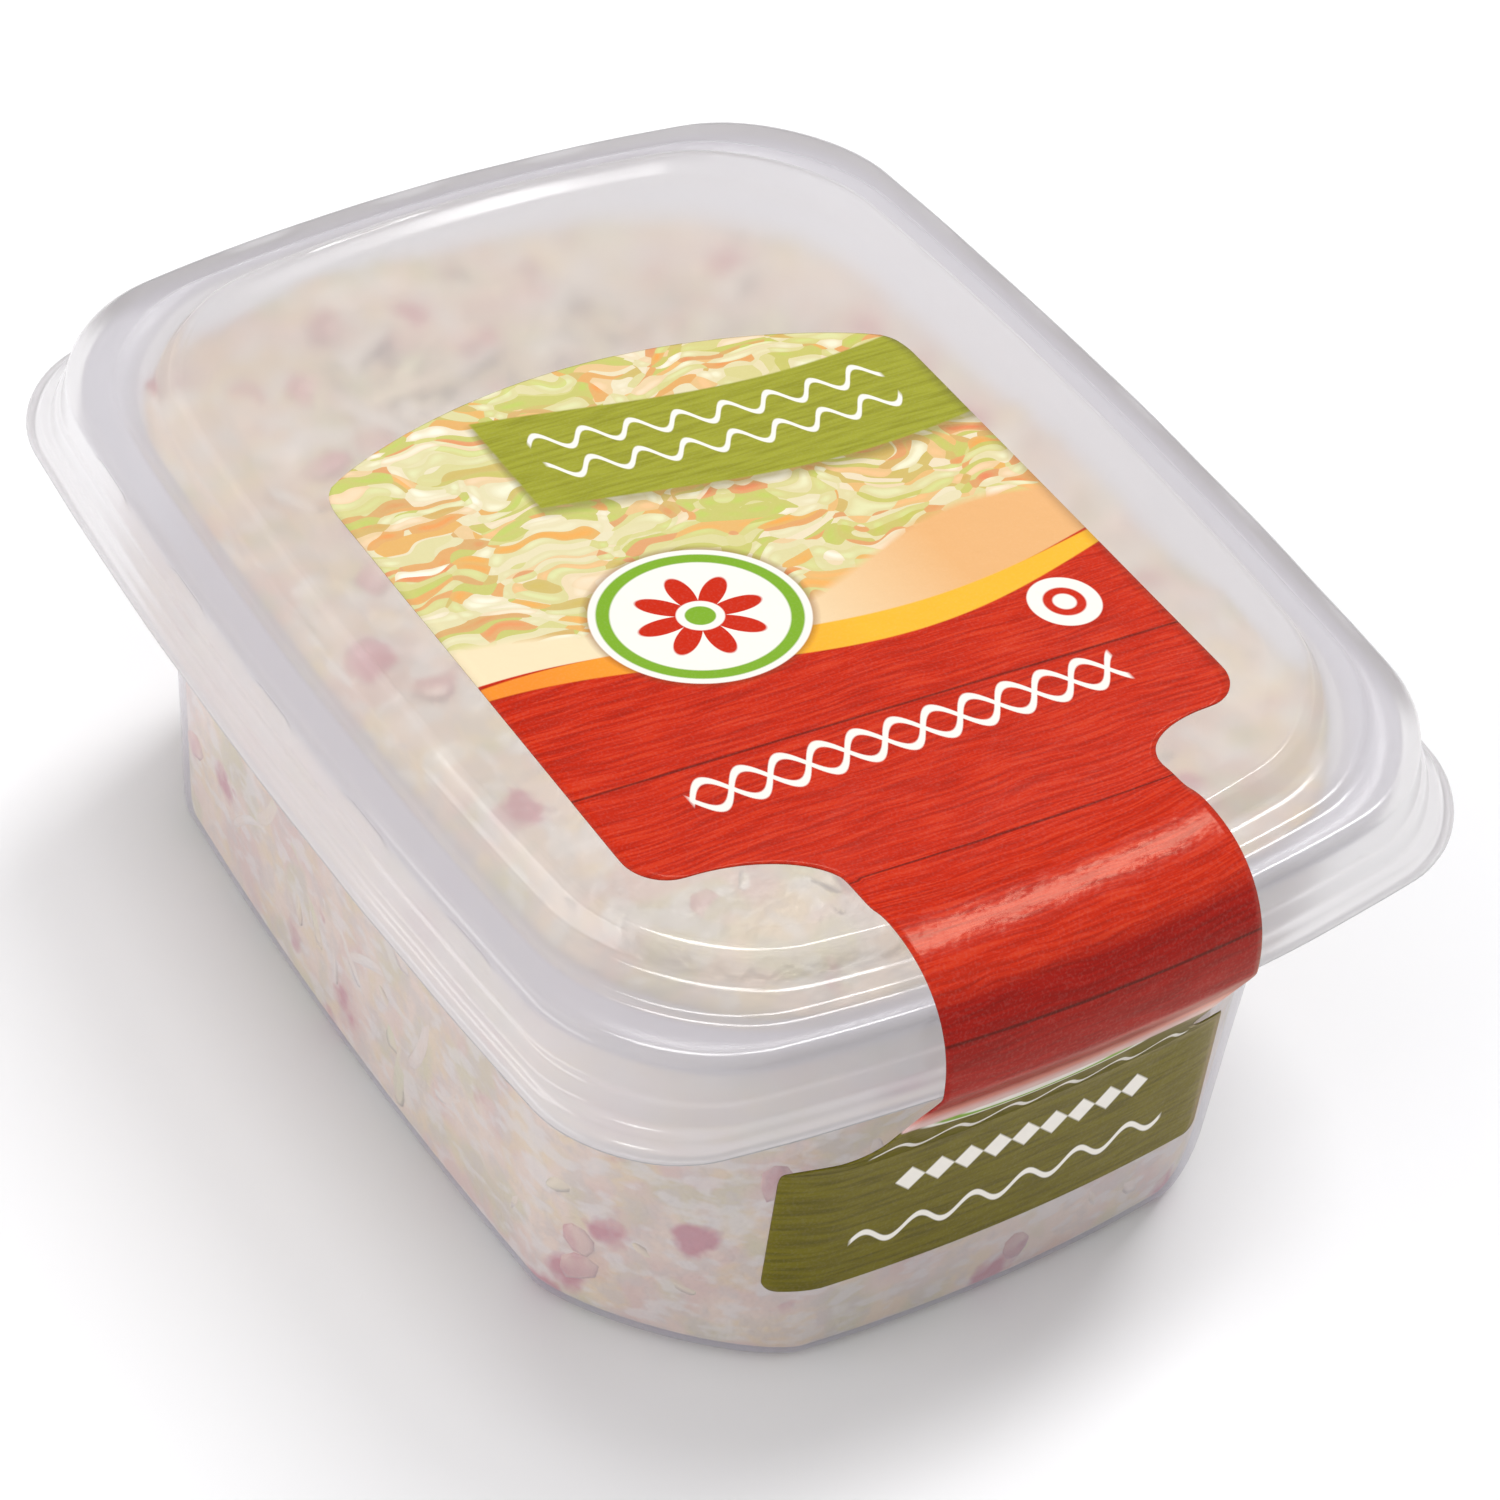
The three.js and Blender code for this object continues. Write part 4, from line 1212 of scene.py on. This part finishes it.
def make_salad():
    draw = random.Random(SEED)
    bits = {kind: Bits() for kind in KINDS}
    for kind, count, sizes, lift, margin in LAID:
        make_rows = dice_rows if kind == "ham" else shred_rows
        for _ in range(count):
            place = on_top(draw, draw.uniform(*lift), margin) if lift else None
            size = [draw.uniform(*span) for span in sizes]
            if place is None:
                place = at_wall(draw)
            bits[kind].add(make_rows(draw, *size, place), draw.uniform(0, 1))
    for kind, (tones, roughness) in KINDS.items():
        bits[kind].piece("coleslaw_" + kind, piece_material(kind, tones, roughness))


# Studio
CAMERA = {
    "target": Vector((-5.10, -8.80, 36.05)) * MM,
    "distance": 0.48055,
    "azimuth": -35.53,
    "elevation": 42.47,
    "roll": 5.96,
    "lens": 110.02,
    "shift": (0.0246, -0.0029),
}


def make_camera():
    turn = math.radians(CAMERA["azimuth"])
    rise = math.radians(CAMERA["elevation"])
    roll = math.radians(CAMERA["roll"])
    back = Vector((math.sin(turn) * math.cos(rise), -math.cos(turn) * math.cos(rise), math.sin(rise)))
    right = (-back).cross(Vector((0, 0, 1))).normalized()
    up = right.cross(-back)
    across = right * math.cos(roll) + up * math.sin(roll)
    upward = up * math.cos(roll) - right * math.sin(roll)
    data = bpy.data.cameras.new("camera")
    data.lens = CAMERA["lens"]
    data.sensor_width = 36
    data.shift_x, data.shift_y = CAMERA["shift"]
    data.clip_start = 0.01
    camera = bpy.data.objects.new("camera", data)
    spot = CAMERA["target"] + back * CAMERA["distance"]
    camera.matrix_world = Matrix((
        (across.x, upward.x, back.x, spot.x),
        (across.y, upward.y, back.y, spot.y),
        (across.z, upward.z, back.z, spot.z),
        (0, 0, 0, 1),
    ))
    scene.collection.objects.link(camera)
    scene.camera = camera


def make_area_light(name, toward, distance, size, power):
    data = bpy.data.lights.new(name, "AREA")
    data.shape = "RECTANGLE"
    data.size, data.size_y = size
    data.energy = power
    light = bpy.data.objects.new(name, data)
    light.location = Vector(toward).normalized() * distance
    light.rotation_euler = light.location.to_track_quat("Z", "Y").to_euler()
    scene.collection.objects.link(light)


MIRRORED = (0.43, 0.6, 0.675)  # the direction that the flat lid mirrors to the camera
ROOM_LIGHT = 0.75
ROOM_STOPS = ((0.45, (1, 1, 1, 1)), (0.85, (0.3, 0.3, 0.31, 1)))


def make_world():
    """A pale room that is less bright in one direction, so that the lid's gloss keeps its contrast."""
    world = bpy.data.worlds.new("studio")
    scene.world = world
    world.use_nodes = True
    tree = world.node_tree
    tree.nodes.clear()
    place = tree.nodes.new("ShaderNodeTexCoord")
    toward = tree.nodes.new("ShaderNodeVectorMath")
    toward.operation = "DOT_PRODUCT"
    toward.inputs[1].default_value = MIRRORED
    ramp = tree.nodes.new("ShaderNodeValToRGB")
    ground = tree.nodes.new("ShaderNodeBackground")
    out = tree.nodes.new("ShaderNodeOutputWorld")
    for element, (place_on_ramp, colour) in zip(ramp.color_ramp.elements, ROOM_STOPS):
        element.position = place_on_ramp
        element.color = colour
    ground.inputs["Strength"].default_value = ROOM_LIGHT
    tree.links.new(place.outputs["Generated"], toward.inputs[0])
    tree.links.new(toward.outputs["Value"], ramp.inputs[0])
    tree.links.new(ramp.outputs[0], ground.inputs[0])
    tree.links.new(ground.outputs[0], out.inputs[0])


FLOOR_Z = -0.0001  # just under the foot, so that the two never share a plane
FLOOR_HALF = 1.6


def make_floor():
    mesh = bpy.data.meshes.new("floor")
    corners = [(x * FLOOR_HALF, y * FLOOR_HALF, FLOOR_Z) for x, y in ((-1, -1), (1, -1), (1, 1), (-1, 1))]
    mesh.from_pydata(corners, [], [(0, 1, 2, 3)])
    mesh.materials.append(floor_material())
    floor = bpy.data.objects.new("floor", mesh)
    scene.collection.objects.link(floor)


make_camera()
make_world()
make_area_light("key", toward=(0.43, 0.2, 0.87), distance=1.2, size=(0.26, 0.6), power=6.2)
make_area_light("overhead", toward=(0.05, 0.14, 0.99), distance=1.2, size=(0.3, 0.25), power=2.6)
make_area_light("fill_left", toward=(-0.93, 0.18, 0.26), distance=1.4, size=(1.2, 0.6), power=6.8)
make_floor()
scene.view_settings.view_transform = "Standard"
scene.cycles.transparent_max_bounces = 12
scene.cycles.max_bounces = 4
scene.cycles.diffuse_bounces = 2
scene.cycles.glossy_bounces = 1
scene.cycles.transmission_bounces = 2
scene.cycles.caustics_reflective = False
scene.cycles.caustics_refractive = False

inside = clear_inside()
tub = make_tub([milky_plastic("milky_tub", haze=0.4, tint=rgb(188, 184, 200)), inside])
lid = make_lid([milky_plastic("milky_lid", haze=0.5, tint=rgb(214, 210, 212), blur=0.55), inside])
label = make_label([label_material(), film_back()])
for shell in (tub, lid, label):
    shell.visible_shadow = False  # milky plastic spreads the light under it until no shadow shows
label.visible_diffuse = False  # and the film lets light through to the wall behind it
make_dressing(dressing_material())
make_salad()
